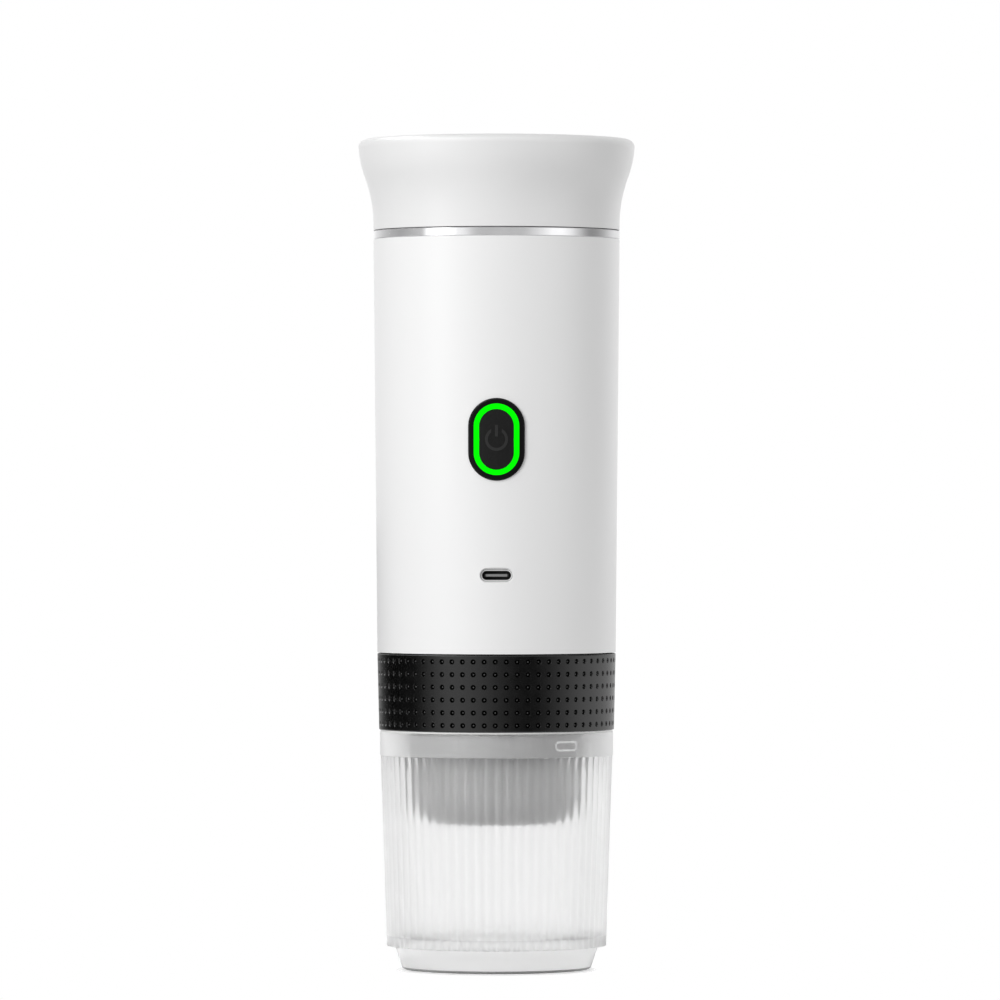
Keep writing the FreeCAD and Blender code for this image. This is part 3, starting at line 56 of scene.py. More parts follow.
def seen_directly(tree):
    """1 for rays from the camera, a reflection or a clear wall, and 0 for the rest."""
    path = tree.nodes.new("ShaderNodeLightPath")
    either = tree.nodes.new("ShaderNodeMath")
    either.operation = "MAXIMUM"
    tree.links.new(path.outputs["Is Camera Ray"], either.inputs[0])
    tree.links.new(path.outputs["Is Glossy Ray"], either.inputs[1])
    seen = tree.nodes.new("ShaderNodeMath")
    seen.operation = "MAXIMUM"
    tree.links.new(either.outputs[0], seen.inputs[0])
    tree.links.new(path.outputs["Is Transmission Ray"], seen.inputs[1])
    return seen.outputs[0]


def white_room(fill):
    """White walls that light the table softly."""
    room = bpy.data.worlds.new("white_room")
    room.use_nodes = True
    tree = room.node_tree
    lit = tree.nodes["Background"]
    lit.inputs["Color"].default_value = (1, 1, 1, 1)
    lit.inputs["Strength"].default_value = fill
    white = tree.nodes.new("ShaderNodeBackground")
    white.inputs["Color"].default_value = (1, 1, 1, 1)
    mix = tree.nodes.new("ShaderNodeMixShader")
    tree.links.new(seen_directly(tree), mix.inputs["Fac"])
    tree.links.new(lit.outputs[0], mix.inputs[1])
    tree.links.new(white.outputs[0], mix.inputs[2])
    tree.links.new(mix.outputs[0], tree.nodes["World Output"].inputs["Surface"])
    bpy.context.scene.world = room


def softbox(name, turn_deg, low, high, width, distance, watts):
    """Upright lamp turned about the maker from the front; shiny surfaces don't show it."""
    lamp = bpy.data.objects.new(name, bpy.data.lights.new(name, "AREA"))
    lamp.data.shape = "RECTANGLE"
    lamp.data.size = width
    lamp.data.size_y = high - low
    lamp.data.energy = watts
    turn = math.radians(turn_deg)
    lamp.location = (distance * math.sin(turn), -distance * math.cos(turn), (low + high) / 2)
    lamp.rotation_euler = (math.pi / 2, 0, turn)
    lamp.visible_camera = False
    lamp.visible_glossy = False
    bpy.context.scene.collection.objects.link(lamp)


def reflecting_wall(name, reach, low, high, level, shades):
    """Round wall of pale and dark card that only shows in shiny surfaces.

    Each shade is a card's turn from the front in degrees, and how pale it is from 0 to 1.
    """
    steps = 90
    mesh = bpy.data.meshes.new(name)
    points = []
    for step in range(steps):
        turn = 2 * math.pi * step / steps
        points.append((reach * math.sin(turn), -reach * math.cos(turn), low))
        points.append((reach * math.sin(turn), -reach * math.cos(turn), high))
    faces = []
    for step in range(steps):
        after = (step + 1) % steps
        faces.append((2 * step, 2 * step + 1, 2 * after + 1, 2 * after))
    mesh.from_pydata(points, [], faces)
    wall = bpy.data.objects.new(name, mesh)
    card = bpy.data.materials.new(name)
    card.use_nodes = True
    tree = card.node_tree
    tree.nodes.remove(tree.nodes["Principled BSDF"])
    place = tree.nodes.new("ShaderNodeTexCoord")
    apart = tree.nodes.new("ShaderNodeSeparateXYZ")
    tree.links.new(place.outputs["Object"], apart.inputs[0])
    back = tree.nodes.new("ShaderNodeMath")
    back.operation = "MULTIPLY"
    back.inputs[1].default_value = -1
    tree.links.new(apart.outputs["Y"], back.inputs[0])
    turn = tree.nodes.new("ShaderNodeMath")
    turn.operation = "ARCTAN2"
    tree.links.new(apart.outputs["X"], turn.inputs[0])
    tree.links.new(back.outputs[0], turn.inputs[1])
    share = tree.nodes.new("ShaderNodeMapRange")
    share.inputs["From Min"].default_value = -math.pi
    share.inputs["From Max"].default_value = math.pi
    tree.links.new(turn.outputs[0], share.inputs["Value"])
    ramp = tree.nodes.new("ShaderNodeValToRGB")
    ramp.color_ramp.interpolation = "EASE"
    stops = ramp.color_ramp.elements
    stops.remove(stops[0])
    for turn_deg, shade in shades:
        stop = stops.new((turn_deg + 180) / 360)
        stop.color = (shade, shade, shade, 1)
    stops.remove(stops[-1])
    tree.links.new(share.outputs[0], ramp.inputs["Fac"])
    glow = tree.nodes.new("ShaderNodeEmission")
    glow.inputs["Strength"].default_value = level
    tree.links.new(ramp.outputs["Color"], glow.inputs["Color"])
    tree.links.new(glow.outputs[0], tree.nodes["Material Output"].inputs["Surface"])
    card.cycles.emission_sampling = "NONE"
    mesh.materials.append(card)
    bpy.context.scene.collection.objects.link(wall)
    wall.visible_camera = False
    wall.visible_diffuse = False
    wall.visible_transmission = False
    wall.visible_shadow = False


def table_top():
    """Plain white table that bounces light and is seen only under the cup's foot.

    The cup's joint pulls the cup down through the table, so past the foot the camera looks
    through the table at the white room.
    """
    reach = 6
    low = -0.0003
    clear_from = 0.0278
    clear_past = 0.0292
    mesh = bpy.data.meshes.new("table_top")
    mesh.from_pydata(
        [(-reach, -reach, low), (reach, -reach, low), (reach, reach, low), (-reach, reach, low)],
        [],
        [(0, 1, 2, 3)],
    )
    table = bpy.data.objects.new("table_top", mesh)
    paint = bpy.data.materials.new("table_paint")
    paint.use_nodes = True
    paint.cycles.emission_sampling = "NONE"
    tree = paint.node_tree
    tree.nodes.remove(tree.nodes["Principled BSDF"])
    matt = tree.nodes.new("ShaderNodeBsdfDiffuse")
    matt.inputs["Color"].default_value = (0.6, 0.6, 0.6, 1)
    white = tree.nodes.new("ShaderNodeEmission")
    white.inputs["Color"].default_value = (1, 1, 1, 1)
    glow = tree.nodes.new("ShaderNodeMath")
    glow.operation = "MULTIPLY"
    glow.inputs[1].default_value = 0.55
    tree.links.new(seen_directly(tree), glow.inputs[0])
    tree.links.new(glow.outputs[0], white.inputs["Strength"])
    both = tree.nodes.new("ShaderNodeAddShader")
    tree.links.new(matt.outputs[0], both.inputs[0])
    tree.links.new(white.outputs[0], both.inputs[1])
    place = tree.nodes.new("ShaderNodeTexCoord")
    away = tree.nodes.new("ShaderNodeVectorMath")
    away.operation = "LENGTH"
    tree.links.new(place.outputs["Object"], away.inputs[0])
    past_foot = tree.nodes.new("ShaderNodeMapRange")
    past_foot.inputs["From Min"].default_value = clear_from
    past_foot.inputs["From Max"].default_value = clear_past
    tree.links.new(away.outputs["Value"], past_foot.inputs["Value"])
    clear = tree.nodes.new("ShaderNodeMath")
    clear.operation = "MULTIPLY"
    tree.links.new(seen_directly(tree), clear.inputs[0])
    tree.links.new(past_foot.outputs[0], clear.inputs[1])
    through = tree.nodes.new("ShaderNodeBsdfTransparent")
    mix = tree.nodes.new("ShaderNodeMixShader")
    tree.links.new(clear.outputs[0], mix.inputs["Fac"])
    tree.links.new(both.outputs[0], mix.inputs[1])
    tree.links.new(through.outputs[0], mix.inputs[2])
    tree.links.new(mix.outputs[0], tree.nodes["Material Output"].inputs["Surface"])
    mesh.materials.append(paint)
    bpy.context.scene.collection.objects.link(table)


white_room(0.46)
softbox("key_softbox", -38, 0.0, 1.3, 0.6, 1.4, 13.8)
softbox("right_fill", 92, 0.0, 1.2, 0.5, 1.5, 4.5)
softbox("back_softbox", 140, 0.1, 1.2, 0.8, 1.5, 4.0)
softbox("low_strip", 106, -0.1, 0.15, 0.4, 1.5, 2.2)
# Low down two pale cards stand left and right with dark ones between them. Higher up a
# bright card stands on the left and a pale one on the right, each with a dark one outside it.
reflecting_wall("low_cards", 0.36, 0.0, 0.125, 1.7, [
    (-175, 0.35),
    (-120, 0.0),
    (-85, 0.0),
    (-40, 0.7),
    (30, 0.0),
    (90, 0.7),
    (150, 0.45),
])
reflecting_wall("studio_wall", 1.9, -0.3, 1.5, 3.0, [
    (-175, 0.35),
    (-100, 0.15),
    (-75, 0.2),
    (-55, 1.0),
    (-35, 0.35),
    (-15, 0.2),
    (20, 0.2),
    (60, 0.4),
    (100, 0.1),
    (150, 0.3),
])
reflecting_wall("high_card", 1.9, 1.5, 3.2, 6.0, [
    (-170, 0.15),
    (-130, 1.0),
    (-50, 1.0),
    (0, 0.4),
    (60, 0.15),
])
table_top()


# Cup
# The cup is one injection moulding in clear plastic: a fluted wall, a smooth band at the
# mouth that slips over the chamber's skirt, and a thick floor on a stepped-in foot.


class Finish:
    """A finish being mixed: a Principled shader, and the patterns that feed it."""

    def __init__(self, name, colour, roughness, **shine):
        self.material = bpy.data.materials.new(name)
        self.material.use_nodes = True
        self.tree = self.material.node_tree
        self.shader = self.tree.nodes["Principled BSDF"]
        self.colour = colour
        self.set("Base Color", (*colour, 1))
        self.set("Roughness", roughness)
        for socket, value in shine.items():
            self.set(socket.replace("_", " ").title().replace("Ior", "IOR"), value)
        self.place = self.node("ShaderNodeTexCoord").outputs["Object"]

    def set(self, socket, value):
        """A plain value or a link on the shader's own socket."""
        self.feed(self.shader.inputs[socket], value)

    def feed(self, socket, value):
        if isinstance(value, bpy.types.NodeSocket):
            self.tree.links.new(value, socket)
        else:
            socket.default_value = value

    def node(self, kind, **settings):
        made = self.tree.nodes.new(kind)
        for name, value in settings.items():
            setattr(made, name, value)
        return made

    def math(self, operation, first, second=0.0, third=0.0):
        made = self.node("ShaderNodeMath", operation=operation)
        for socket, value in zip(made.inputs, (first, second, third)):
            self.feed(socket, value)
        return made.outputs[0]

    def stretched(self, scale):
        """The piece's own place, stretched by a scale along each axis."""
        made = self.node("ShaderNodeMapping")
        self.tree.links.new(self.place, made.inputs["Vector"])
        made.inputs["Scale"].default_value = scale
        return made.outputs[0]

    def around(self):
        """Turn about the upright axis in radians, distance from it and height."""
        apart = self.node("ShaderNodeSeparateXYZ")
        self.tree.links.new(self.place, apart.inputs[0])
        x, y, z = apart.outputs
        turn = self.math("ARCTAN2", y, x)
        return turn, self.length(x, y), z

    def length(self, first, second):
        """Distance that two offsets at right angles make together."""
        squares = [self.math("POWER", side, 2) for side in (first, second)]
        return self.math("SQRT", self.math("ADD", *squares))

    def from_bar(self, along, above, half_bar):
        """Distance from a level bar, which is a line of that half length."""
        past_end = self.math("SUBTRACT", self.math("ABSOLUTE", along), half_bar)
        return self.length(self.math("MAXIMUM", past_end, 0.0), above)

    def noise(self, size_mm, detail=3.0, scale=(1, 1, 1)):
        """Random pattern from 0 to 1 with features of about that size."""
        made = self.node("ShaderNodeTexNoise")
        self.tree.links.new(self.stretched(scale), made.inputs["Vector"])
        made.inputs["Scale"].default_value = 1000 / size_mm
        made.inputs["Detail"].default_value = detail
        return made.outputs["Fac"]

    def spread(self, pattern, low, high, start=0.3, stop=0.7):
        """A pattern brought to a range."""
        made = self.node("ShaderNodeMapRange")
        self.tree.links.new(pattern, made.inputs["Value"])
        made.inputs["From Min"].default_value = start
        made.inputs["From Max"].default_value = stop
        made.inputs["To Min"].default_value = low
        made.inputs["To Max"].default_value = high
        return made.outputs[0]

    def blend(self, share, first, second):
        """Mix of two colours by a share."""
        made = self.node("ShaderNodeMix", data_type="RGBA")
        self.feed(made.inputs["Factor"], share)
        # A mix node keeps its two colours on sockets 6 and 7, and their mix on output 2.
        for socket, colour in zip(made.inputs[6:8], (first, second)):
            self.feed(socket, colour)
        return made.outputs[2]

    def mottle(self, pattern, change):
        """Colour that drifts a little darker where the pattern is low."""
        dark = tuple(c * (1 - change) for c in self.colour)
        share = self.spread(pattern, 0, 1)
        self.set("Base Color", self.blend(share, (*dark, 1), (*self.colour, 1)))

    def relief(self, pattern, depth_mm):
        """Bump from a pattern, that deep in millimetres."""
        made = self.node("ShaderNodeBump")
        made.inputs["Strength"].default_value = 1
        made.inputs["Distance"].default_value = depth_mm / 1000
        self.tree.links.new(pattern, made.inputs["Height"])
        self.set("Normal", made.outputs[0])


def moulded(name, colour, rough_low, rough_high, grain_mm, grain_depth_mm, change=0.04, **shine):
    """Moulded plastic or rubber: faint flow marks, uneven gloss and a fine grain."""
    finish = Finish(name, colour, rough_high, **shine)
    finish.mottle(finish.noise(14, scale=(1, 1, 0.5)), change)
    finish.set("Roughness", finish.spread(finish.noise(3), rough_low, rough_high))
    finish.relief(finish.noise(grain_mm, detail=2), grain_depth_mm)
    return finish


def dress(finish, *names):
    """Puts a finish on CAD nodes."""
    for name in names:
        nodes[name].material_slots[0].material = finish.material


def rounded(corners, steps=5):
    """Outline from (radius, height, rounding) corners in millimetres, with the roundings drawn."""
    outline = []
    count = len(corners)
    for index, (r, z, rounding) in enumerate(corners):
        if not rounding:
            outline.append((r, z))
            continue
        before = corners[index - 1]
        after = corners[(index + 1) % count]
        for step in range(steps + 1):
            t = step / steps
            ends = []
            for end in (before, after):
                span = math.hypot(end[0] - r, end[1] - z)
                share = rounding / span
                ends.append((r + (end[0] - r) * share, z + (end[1] - z) * share))
            a, b = ends
            outline.append((
                a[0] * (1 - t) ** 2 + 2 * r * t * (1 - t) + b[0] * t ** 2,
                a[1] * (1 - t) ** 2 + 2 * z * t * (1 - t) + b[1] * t ** 2,
            ))
    return outline


def turned_mesh(name, outline, segments, start_deg=0.0, closed=False):
    """Body of revolution from an outline in millimetres that starts and ends on the axis.

    A closed outline joins its own ends instead.
    """
    form = bmesh.new()
    rings = []
    for r, z in outline:
        if r < 1e-6:
            rings.append([form.verts.new((0, 0, z / 1000))])
            continue
        ring = []
        for step in range(segments):
            turn = math.radians(start_deg) + 2 * math.pi * step / segments
            point = (r * math.cos(turn), r * math.sin(turn), z)
            ring.append(form.verts.new([v / 1000 for v in point]))
        rings.append(ring)
    pairs = list(zip(rings, rings[1:]))
    if closed:
        pairs.append((rings[-1], rings[0]))
    for low, high in pairs:
        for step in range(segments):
            corners = []
            for ring, place in ((low, step), (low, step + 1), (high, step + 1), (high, step)):
                vertex = ring[place % len(ring)]
                if vertex not in corners:
                    corners.append(vertex)
            form.faces.new(corners)
    bmesh.ops.recalc_face_normals(form, faces=form.faces)
    mesh = bpy.data.meshes.new(name)
    form.to_mesh(mesh)
    form.free()
    return mesh


def placed(name, mesh):
    """Object at the origin that holds a mesh."""
    piece = bpy.data.objects.new(name, mesh)
    bpy.context.scene.collection.objects.link(piece)
    return piece


class Pattern:
    """A Geometry Nodes tree being built, with named inputs for its sizes."""

    def __init__(self, name):
        self.tree = bpy.data.node_groups.new(name, "GeometryNodeTree")
        for way in ("INPUT", "OUTPUT"):
            self.tree.interface.new_socket(
                "Geometry", in_out=way, socket_type="NodeSocketGeometry"
            )
        self.sizes = self.tree.nodes.new("NodeGroupInput")
        self.values = {}

    def size(self, name, kind, value):
        """Named input of the tree; its value is set on the modifier by identifier."""
        socket = self.tree.interface.new_socket(
            name, in_out="INPUT", socket_type="NodeSocket" + kind
        )
        self.values[socket.identifier] = value
        return self.sizes.outputs[name]

    def feed(self, socket, value):
        if isinstance(value, bpy.types.NodeSocket):
            self.tree.links.new(value, socket)
        elif value is not None:
            socket.default_value = value

    def node(self, kind, inputs, output=0, **settings):
        made = self.tree.nodes.new(kind)
        for name, value in settings.items():
            setattr(made, name, value)
        for name, value in inputs.items():
            self.feed(made.inputs[name], value)
        return made.outputs[output]

    def math(self, operation, *values):
        return self.node("ShaderNodeMath", dict(enumerate(values)), operation=operation)

    def place(self):
        """Each point's x, y and z."""
        apart = self.tree.nodes.new("ShaderNodeSeparateXYZ")
        self.tree.links.new(self.node("GeometryNodeInputPosition", {}), apart.inputs[0])
        return apart.outputs

    def finished(self, piece, geometry, material):
        """Ends the tree, runs it on a piece and gives the piece the plain mesh."""
        real = self.node("GeometryNodeRealizeInstances", {"Geometry": geometry})
        coated = self.node("GeometryNodeSetMaterial", {"Geometry": real, "Material": material})
        end = self.tree.nodes.new("NodeGroupOutput")
        self.tree.links.new(coated, end.inputs["Geometry"])
        modifier = piece.modifiers.new(self.tree.name, "NODES")
        modifier.node_group = self.tree
        for identifier, value in self.values.items():
            modifier[identifier] = value
        bpy.context.view_layer.update()
        seen = piece.evaluated_get(bpy.context.evaluated_depsgraph_get())
        mesh = bpy.data.meshes.new_from_object(seen)
        piece.modifiers.clear()
        piece.data = mesh
        return mesh


def smoothed(mesh, crease_deg):
    """Smooth shading with sharp edges where faces meet at more than an angle."""
    for face in mesh.polygons:
        face.use_smooth = True
    mesh.set_sharp_from_angle(angle=math.radians(crease_deg))


flute_count = 68
contact_shadow_top = 0.0008
foot_top = 0.00681
floor_top = 0.0098
flutes_top = 0.0619
outer_wall = 0.0305
clear_plastic = Finish("clear_plastic", (0.95, 0.95, 0.95), 0.1, ior=1.15)
turn, reach, height = clear_plastic.around()
contact_shadow_band = clear_plastic.math("LESS_THAN", height, contact_shadow_top)
foot = clear_plastic.math("LESS_THAN", height, foot_top)
low_down = clear_plastic.math("LESS_THAN", height, floor_top)
outside = clear_plastic.math("GREATER_THAN", reach, outer_wall)
floor = clear_plastic.math("MULTIPLY", low_down, outside)
ribbed = clear_plastic.math("LESS_THAN", height, flutes_top)
mouth = clear_plastic.math("SUBTRACT", 1.0, ribbed)
counted = clear_plastic.math("MULTIPLY", turn, flute_count / (2 * math.pi))
share = clear_plastic.math("FRACT", counted)
valley = clear_plastic.math("POWER", clear_plastic.math("MULTIPLY_ADD", share, 2.0, -1.0), 2.0)
# Painted shade: darker along each flute's crest and lighter in its valleys, standing in for the
# flutes' shading.
painted_flute_shade = clear_plastic.blend(valley, (0.92, 0.92, 0.92, 1), (1.0, 1.0, 1.0, 1))
# Painted shade: the floor band low on the outer wall is coloured darker, standing in for the
# shading of the thick floor seen through it.
painted_floor_shade = clear_plastic.blend(valley, (0.72, 0.72, 0.72, 1), (0.8, 0.8, 0.8, 1))
shade = clear_plastic.blend(ribbed, (0.97, 0.97, 0.97, 1), painted_flute_shade)
shade = clear_plastic.blend(floor, shade, painted_floor_shade)
shade = clear_plastic.blend(foot, shade, (0.98, 0.98, 0.98, 1))
# Painted shadow: the foot's lowest 0.8 mm is coloured dark grey, a contact shadow where the foot
# meets the table.
clear_plastic.set("Base Color", clear_plastic.blend(contact_shadow_band, shade, (0.36, 0.36, 0.36, 1)))
uneven = clear_plastic.spread(clear_plastic.noise(5), 0.29, 0.32)
clear_plastic.set("Roughness", clear_plastic.math("MULTIPLY_ADD", foot, 0.2, uneven))
clearness = clear_plastic.math("MULTIPLY_ADD", valley, -0.05, 0.97)
# Less clear in the floor band and the foot, and far less in the painted contact shadow.
for where, change in ((floor, -0.03), (foot, -0.1), (contact_shadow_band, -0.5)):
    clearness = clear_plastic.math("MULTIPLY_ADD", where, change, clearness)
# The smooth band at the mouth is milkier where its wall is seen at a slant.
slant = clear_plastic.node("ShaderNodeLayerWeight")
slant.inputs["Blend"].default_value = 0.5
milky = clear_plastic.spread(slant.outputs["Facing"], 0, 0.9, 0.26, 0.72)
milky = clear_plastic.math("MULTIPLY", milky, mouth)
clear_plastic.set("Transmission Weight", clear_plastic.math("SUBTRACT", clearness, milky))
clear_plastic.relief(clear_plastic.noise(2.5, scale=(1, 1, 0.2)), 0.001)

flute_steps = 8
cup_outline = rounded([
    (0, 4.5, 0),
    (24.5, 4.5, 0.4),
    (24.5, 0, 0.3),
    (27.2, 0, 0.9),
    (29.4, 6.8, 0.25),
    (31.6, 6.8, 0),
    (31.72, 6.95, 0),
    (33.55, 61.9, 0),
    (33.75, 62.0, 0),
    (33.75, 68.9, 0.4),
    (31.9, 68.9, 0.3),
    (31.9, 61.2, 1.0),
    (30.9, 57.0, 2.0),
    (29.1, 9.1, 3.6),
    (0, 9.1, 0),
])
cup_mesh = turned_mesh("cup_blank", cup_outline, flute_count * flute_steps)
clear_cup = placed("clear_cup", cup_mesh)
flutes = Pattern("cup_flutes")
count = flutes.size("Flute Count", "Int", flute_count)
depth = flutes.size("Flute Depth", "Float", 0.0005)
low = flutes.size("From Height", "Float", 0.0068)
high = flutes.size("To Height", "Float", 0.06195)
wall = flutes.size("Wall Radius", "Float", 0.0312)
x, y, z = flutes.place()
squares = flutes.math("ADD", flutes.math("MULTIPLY", x, x), flutes.math("MULTIPLY", y, y))
reach = flutes.math("SQRT", squares)
turn = flutes.math("DIVIDE", flutes.math("ARCTAN2", y, x), 2 * math.pi)
share = flutes.math("FRACT", flutes.math("MULTIPLY", turn, count))
wave = flutes.math("COSINE", flutes.math("MULTIPLY", share, 2 * math.pi))
bow = flutes.math("MULTIPLY_ADD", wave, 0.5, 0.5)
sink = flutes.math("DIVIDE", flutes.math("MULTIPLY", bow, depth), reach)
inward = flutes.math("MULTIPLY", sink, -1.0)
step = flutes.node(
    "ShaderNodeCombineXYZ",
    {"X": flutes.math("MULTIPLY", x, inward), "Y": flutes.math("MULTIPLY", y, inward)},
)
fluted = flutes.math(
    "MULTIPLY",
    flutes.math("GREATER_THAN", reach, wall),
    flutes.math("MULTIPLY", flutes.math("GREATER_THAN", z, low), flutes.math("LESS_THAN", z, high)),
)
carved = flutes.node(
    "GeometryNodeSetPosition",
    {"Geometry": flutes.sizes.outputs["Geometry"], "Selection": fluted, "Offset": step},
)
smoothed(flutes.finished(clear_cup, carved, clear_plastic.material), 30)
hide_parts("cup")
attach(clear_cup, "cup")


# Brew chamber
# The chamber is a grey moulding: a round bowl that hangs in the cup, a skirt that plugs
# into the cup's mouth and a threaded wall. A steel nozzle is pressed into its floor.

grey_plastic = moulded("grey_plastic", (0.34, 0.34, 0.34), 0.32, 0.46, 0.5, 0.004)
turn, reach, height = grey_plastic.around()
# Painted highlight: a pale outline along the raised lug's edge, two lugs on opposite sides,
# each a level bar with round ends.
lug_turn = math.radians(129)
lug_height = 0.0652
lug_half_bar = 0.0025
lug_half_height = 0.0012
lug_half_line = 0.00026
lug_foot = 0.0312
near_turn = grey_plastic.math("WRAP", turn, lug_turn - math.pi / 2, lug_turn + math.pi / 2)
along = grey_plastic.math("MULTIPLY", grey_plastic.math("SUBTRACT", near_turn, lug_turn), reach)
above = grey_plastic.math("SUBTRACT", height, lug_height)
from_middle = grey_plastic.from_bar(along, above, lug_half_bar)
past_line = grey_plastic.math("SUBTRACT", from_middle, lug_half_height)
from_line = grey_plastic.math("ABSOLUTE", past_line)
on_line = grey_plastic.math("LESS_THAN", from_line, lug_half_line)
on_lug = grey_plastic.math("GREATER_THAN", reach, lug_foot)
painted_lug_highlight = grey_plastic.math("MULTIPLY", on_line, on_lug)
# The skirt is a little paler than the bowl.
bowl_reach = 0.0305
plain = grey_plastic.shader.inputs["Base Color"].links[0].from_socket
on_skirt = grey_plastic.math("GREATER_THAN", reach, bowl_reach)
skirt = grey_plastic.math("MULTIPLY", on_skirt, 0.25)
plain = grey_plastic.blend(skirt, plain, (0.5, 0.5, 0.5, 1))
grey_plastic.set("Base Color", grey_plastic.blend(painted_lug_highlight, plain, (0.85, 0.85, 0.85, 1)))
dress(grey_plastic, "brew_chamber")


def metal(name, colour, rough_low, rough_high, line_mm, depth_mm, around=True):
    """Metal with the fine lines that turning, drawing or brushing leaves."""
    finish = Finish(name, colour, rough_high, metallic=1.0)
    scale = (0.06, 0.06, 1) if around else (1, 0.06, 0.06)
    lines = finish.noise(line_mm, detail=4, scale=scale)
    finish.mottle(finish.noise(6), 0.08)
    finish.set("Roughness", finish.spread(lines, rough_low, rough_high))
    finish.relief(lines, depth_mm)
    return finish


steel = metal("steel", (0.62, 0.62, 0.64), 0.22, 0.36, 0.25, 0.002)
dress(steel, "outlet_nozzle")


# Cup seal
# A flat white silicone ring under the collar. The cup's rim closes on it, and it shows as
# a thin pale line between cup and collar, which also stands in for a painted highlight on
# the cup's rim edge.

white_silicone = moulded("white_silicone", (0.93, 0.93, 0.92), 0.4, 0.55, 0.4, 0.004)
dress(white_silicone, "cup_seal")


# Grip collar
# A soft black sleeve moulded over the chamber's wall. Its grip is six rows of small round
# pits in upright columns, pressed in by the mould.

pit_columns = 68
pit_rows = 6
pit_diameter = 1.5
pit_depth = 0.9
row_pitch = 3.64
first_column_deg = -0.6
lowest_row = 71.3
middle_radius = 34.25
column_pitch = 2 * math.pi * middle_radius / pit_columns
cell_sides = 3
skin_low = 69.78
skin_high = 90.92
skin_low_radius = 34.01
skin_high_radius = 34.49
# Down the pit's side from its rim: share of the pit's radius, and share of its depth.
pit_profile = [
    (1.35, 0),
    (1.04, 0),
    (0.96, 0.08),
    (0.66, 1),
    (0.4, 0.6),
    (0.28, 0.45),
    (0.12, 0.4),
]


def pit_cell():
    """One square of the grip's skin with a pit in its middle; y is out of the skin."""
    form = bmesh.new()
    half_w = column_pitch / 2
    half_h = row_pitch / 2
    border = []
    for side in range(4):
        for step in range(cell_sides):
            t = -1 + 2 * step / cell_sides
            across, up = ((t, -1), (1, t), (-t, 1), (-1, -t))[side]
            border.append((across * half_w, 0, up * half_h))
    rings = [border]
    rim = pit_diameter / 2
    for share, sunk in pit_profile:
        ring = []
        for x, _, z in border:
            turn = math.atan2(z / half_h, x / half_w)
            across, up = rim * share * math.cos(turn), rim * share * math.sin(turn)
            ring.append((across, -pit_depth * sunk, up))
        rings.append(ring)
    loops = [[form.verts.new([v / 1000 for v in point]) for point in ring] for ring in rings]
    around = len(border)
    for outer, inner in zip(loops, loops[1:]):
        for step in range(around):
            after = (step + 1) % around
            form.faces.new((outer[step], outer[after], inner[after], inner[step]))
    form.faces.new(loops[-1])
    mesh = bpy.data.meshes.new("pit_cell")
    form.to_mesh(mesh)
    form.free()
    return placed("pit_cell", mesh)


black_rubber = moulded(
    "black_rubber", (0.0012, 0.0012, 0.0012), 0.22, 0.265, 0.3, 0.005, change=0.3
)
turn, _, height = black_rubber.around()


def from_pit(counted, pitch):
    """Offset in metres from the nearest pit's middle, where counted rises by 1 a pit."""
    share = black_rubber.math("FRACT", counted)
    return black_rubber.math("MULTIPLY_ADD", share, pitch / 1000, -pitch / 2000)


pit_glint_radius = 0.00026
columns_per_radian = pit_columns / (2 * math.pi)
column_start = pit_columns * (90 - first_column_deg) / 360 + 0.5
column = black_rubber.math("MULTIPLY_ADD", turn, columns_per_radian, column_start)
row = black_rubber.math("MULTIPLY_ADD", height, 1000 / row_pitch, 0.5 - lowest_row / row_pitch)
away = black_rubber.length(from_pit(column, column_pitch), from_pit(row, row_pitch))
# Painted highlight: each pit's middle has a real raised nub, and a paler spot on it stands in for
# the glint it catches.
painted_pit_glint = black_rubber.math("LESS_THAN", away, pit_glint_radius)
plain = black_rubber.shader.inputs["Base Color"].links[0].from_socket
black_rubber.set("Base Color", black_rubber.blend(painted_pit_glint, plain, (0.05, 0.05, 0.05, 1)))
collar_start_deg = first_column_deg - 90 - 180 / pit_columns
collar_rims = rounded([
    (skin_low_radius, skin_low, 0),
    (34.0, 69.3, 0.35),
    (32.0, 69.3, 0),
    (32.0, 91.4, 0),
    (34.5, 91.4, 0.35),
    (skin_high_radius, skin_high, 0),
])
rim_mesh = turned_mesh("collar_rims", collar_rims, pit_columns * cell_sides, collar_start_deg)
black_collar = placed("black_collar", rim_mesh)
cell = pit_cell()
grip = Pattern("collar_pits")
columns = grip.size("Columns", "Int", pit_columns)
rows = grip.size("Rows", "Int", pit_rows)
pitch_x = grip.size("Column Pitch", "Float", column_pitch / 1000)
pitch_z = grip.size("Row Pitch", "Float", row_pitch / 1000)
first_z = grip.size("Lowest Row", "Float", lowest_row / 1000)
first_turn = grip.size("First Column", "Float", math.radians(first_column_deg))
low_r = grip.size("Low Radius", "Float", skin_low_radius / 1000)
low_z = grip.size("Low Edge", "Float", skin_low / 1000)
high_z = grip.size("High Edge", "Float", skin_high / 1000)
slope = (skin_high_radius - skin_low_radius) / (skin_high - skin_low)
taper = grip.size("Taper", "Float", slope)
spots = grip.node(
    "GeometryNodeMeshLine",
    {"Count": grip.math("MULTIPLY", columns, rows)},
)
index = grip.node("GeometryNodeInputIndex", {})
column = grip.math("MODULO", index, columns)
row = grip.math("FLOOR", grip.math("DIVIDE", grip.math("ADD", index, 0.5), columns))
spot = grip.node(
    "ShaderNodeCombineXYZ",
    {
        "X": grip.math("MULTIPLY", column, pitch_x),
        "Y": 0.0,
        "Z": grip.math("ADD", grip.math("MULTIPLY", row, pitch_z), first_z),
    },
)
laid = grip.node("GeometryNodeSetPosition", {"Geometry": spots, "Position": spot})
one = grip.node("GeometryNodeObjectInfo", {"Object": grip.size("Cell", "Object", cell)}, "Geometry")
cells = grip.node("GeometryNodeInstanceOnPoints", {"Points": laid, "Instance": one})
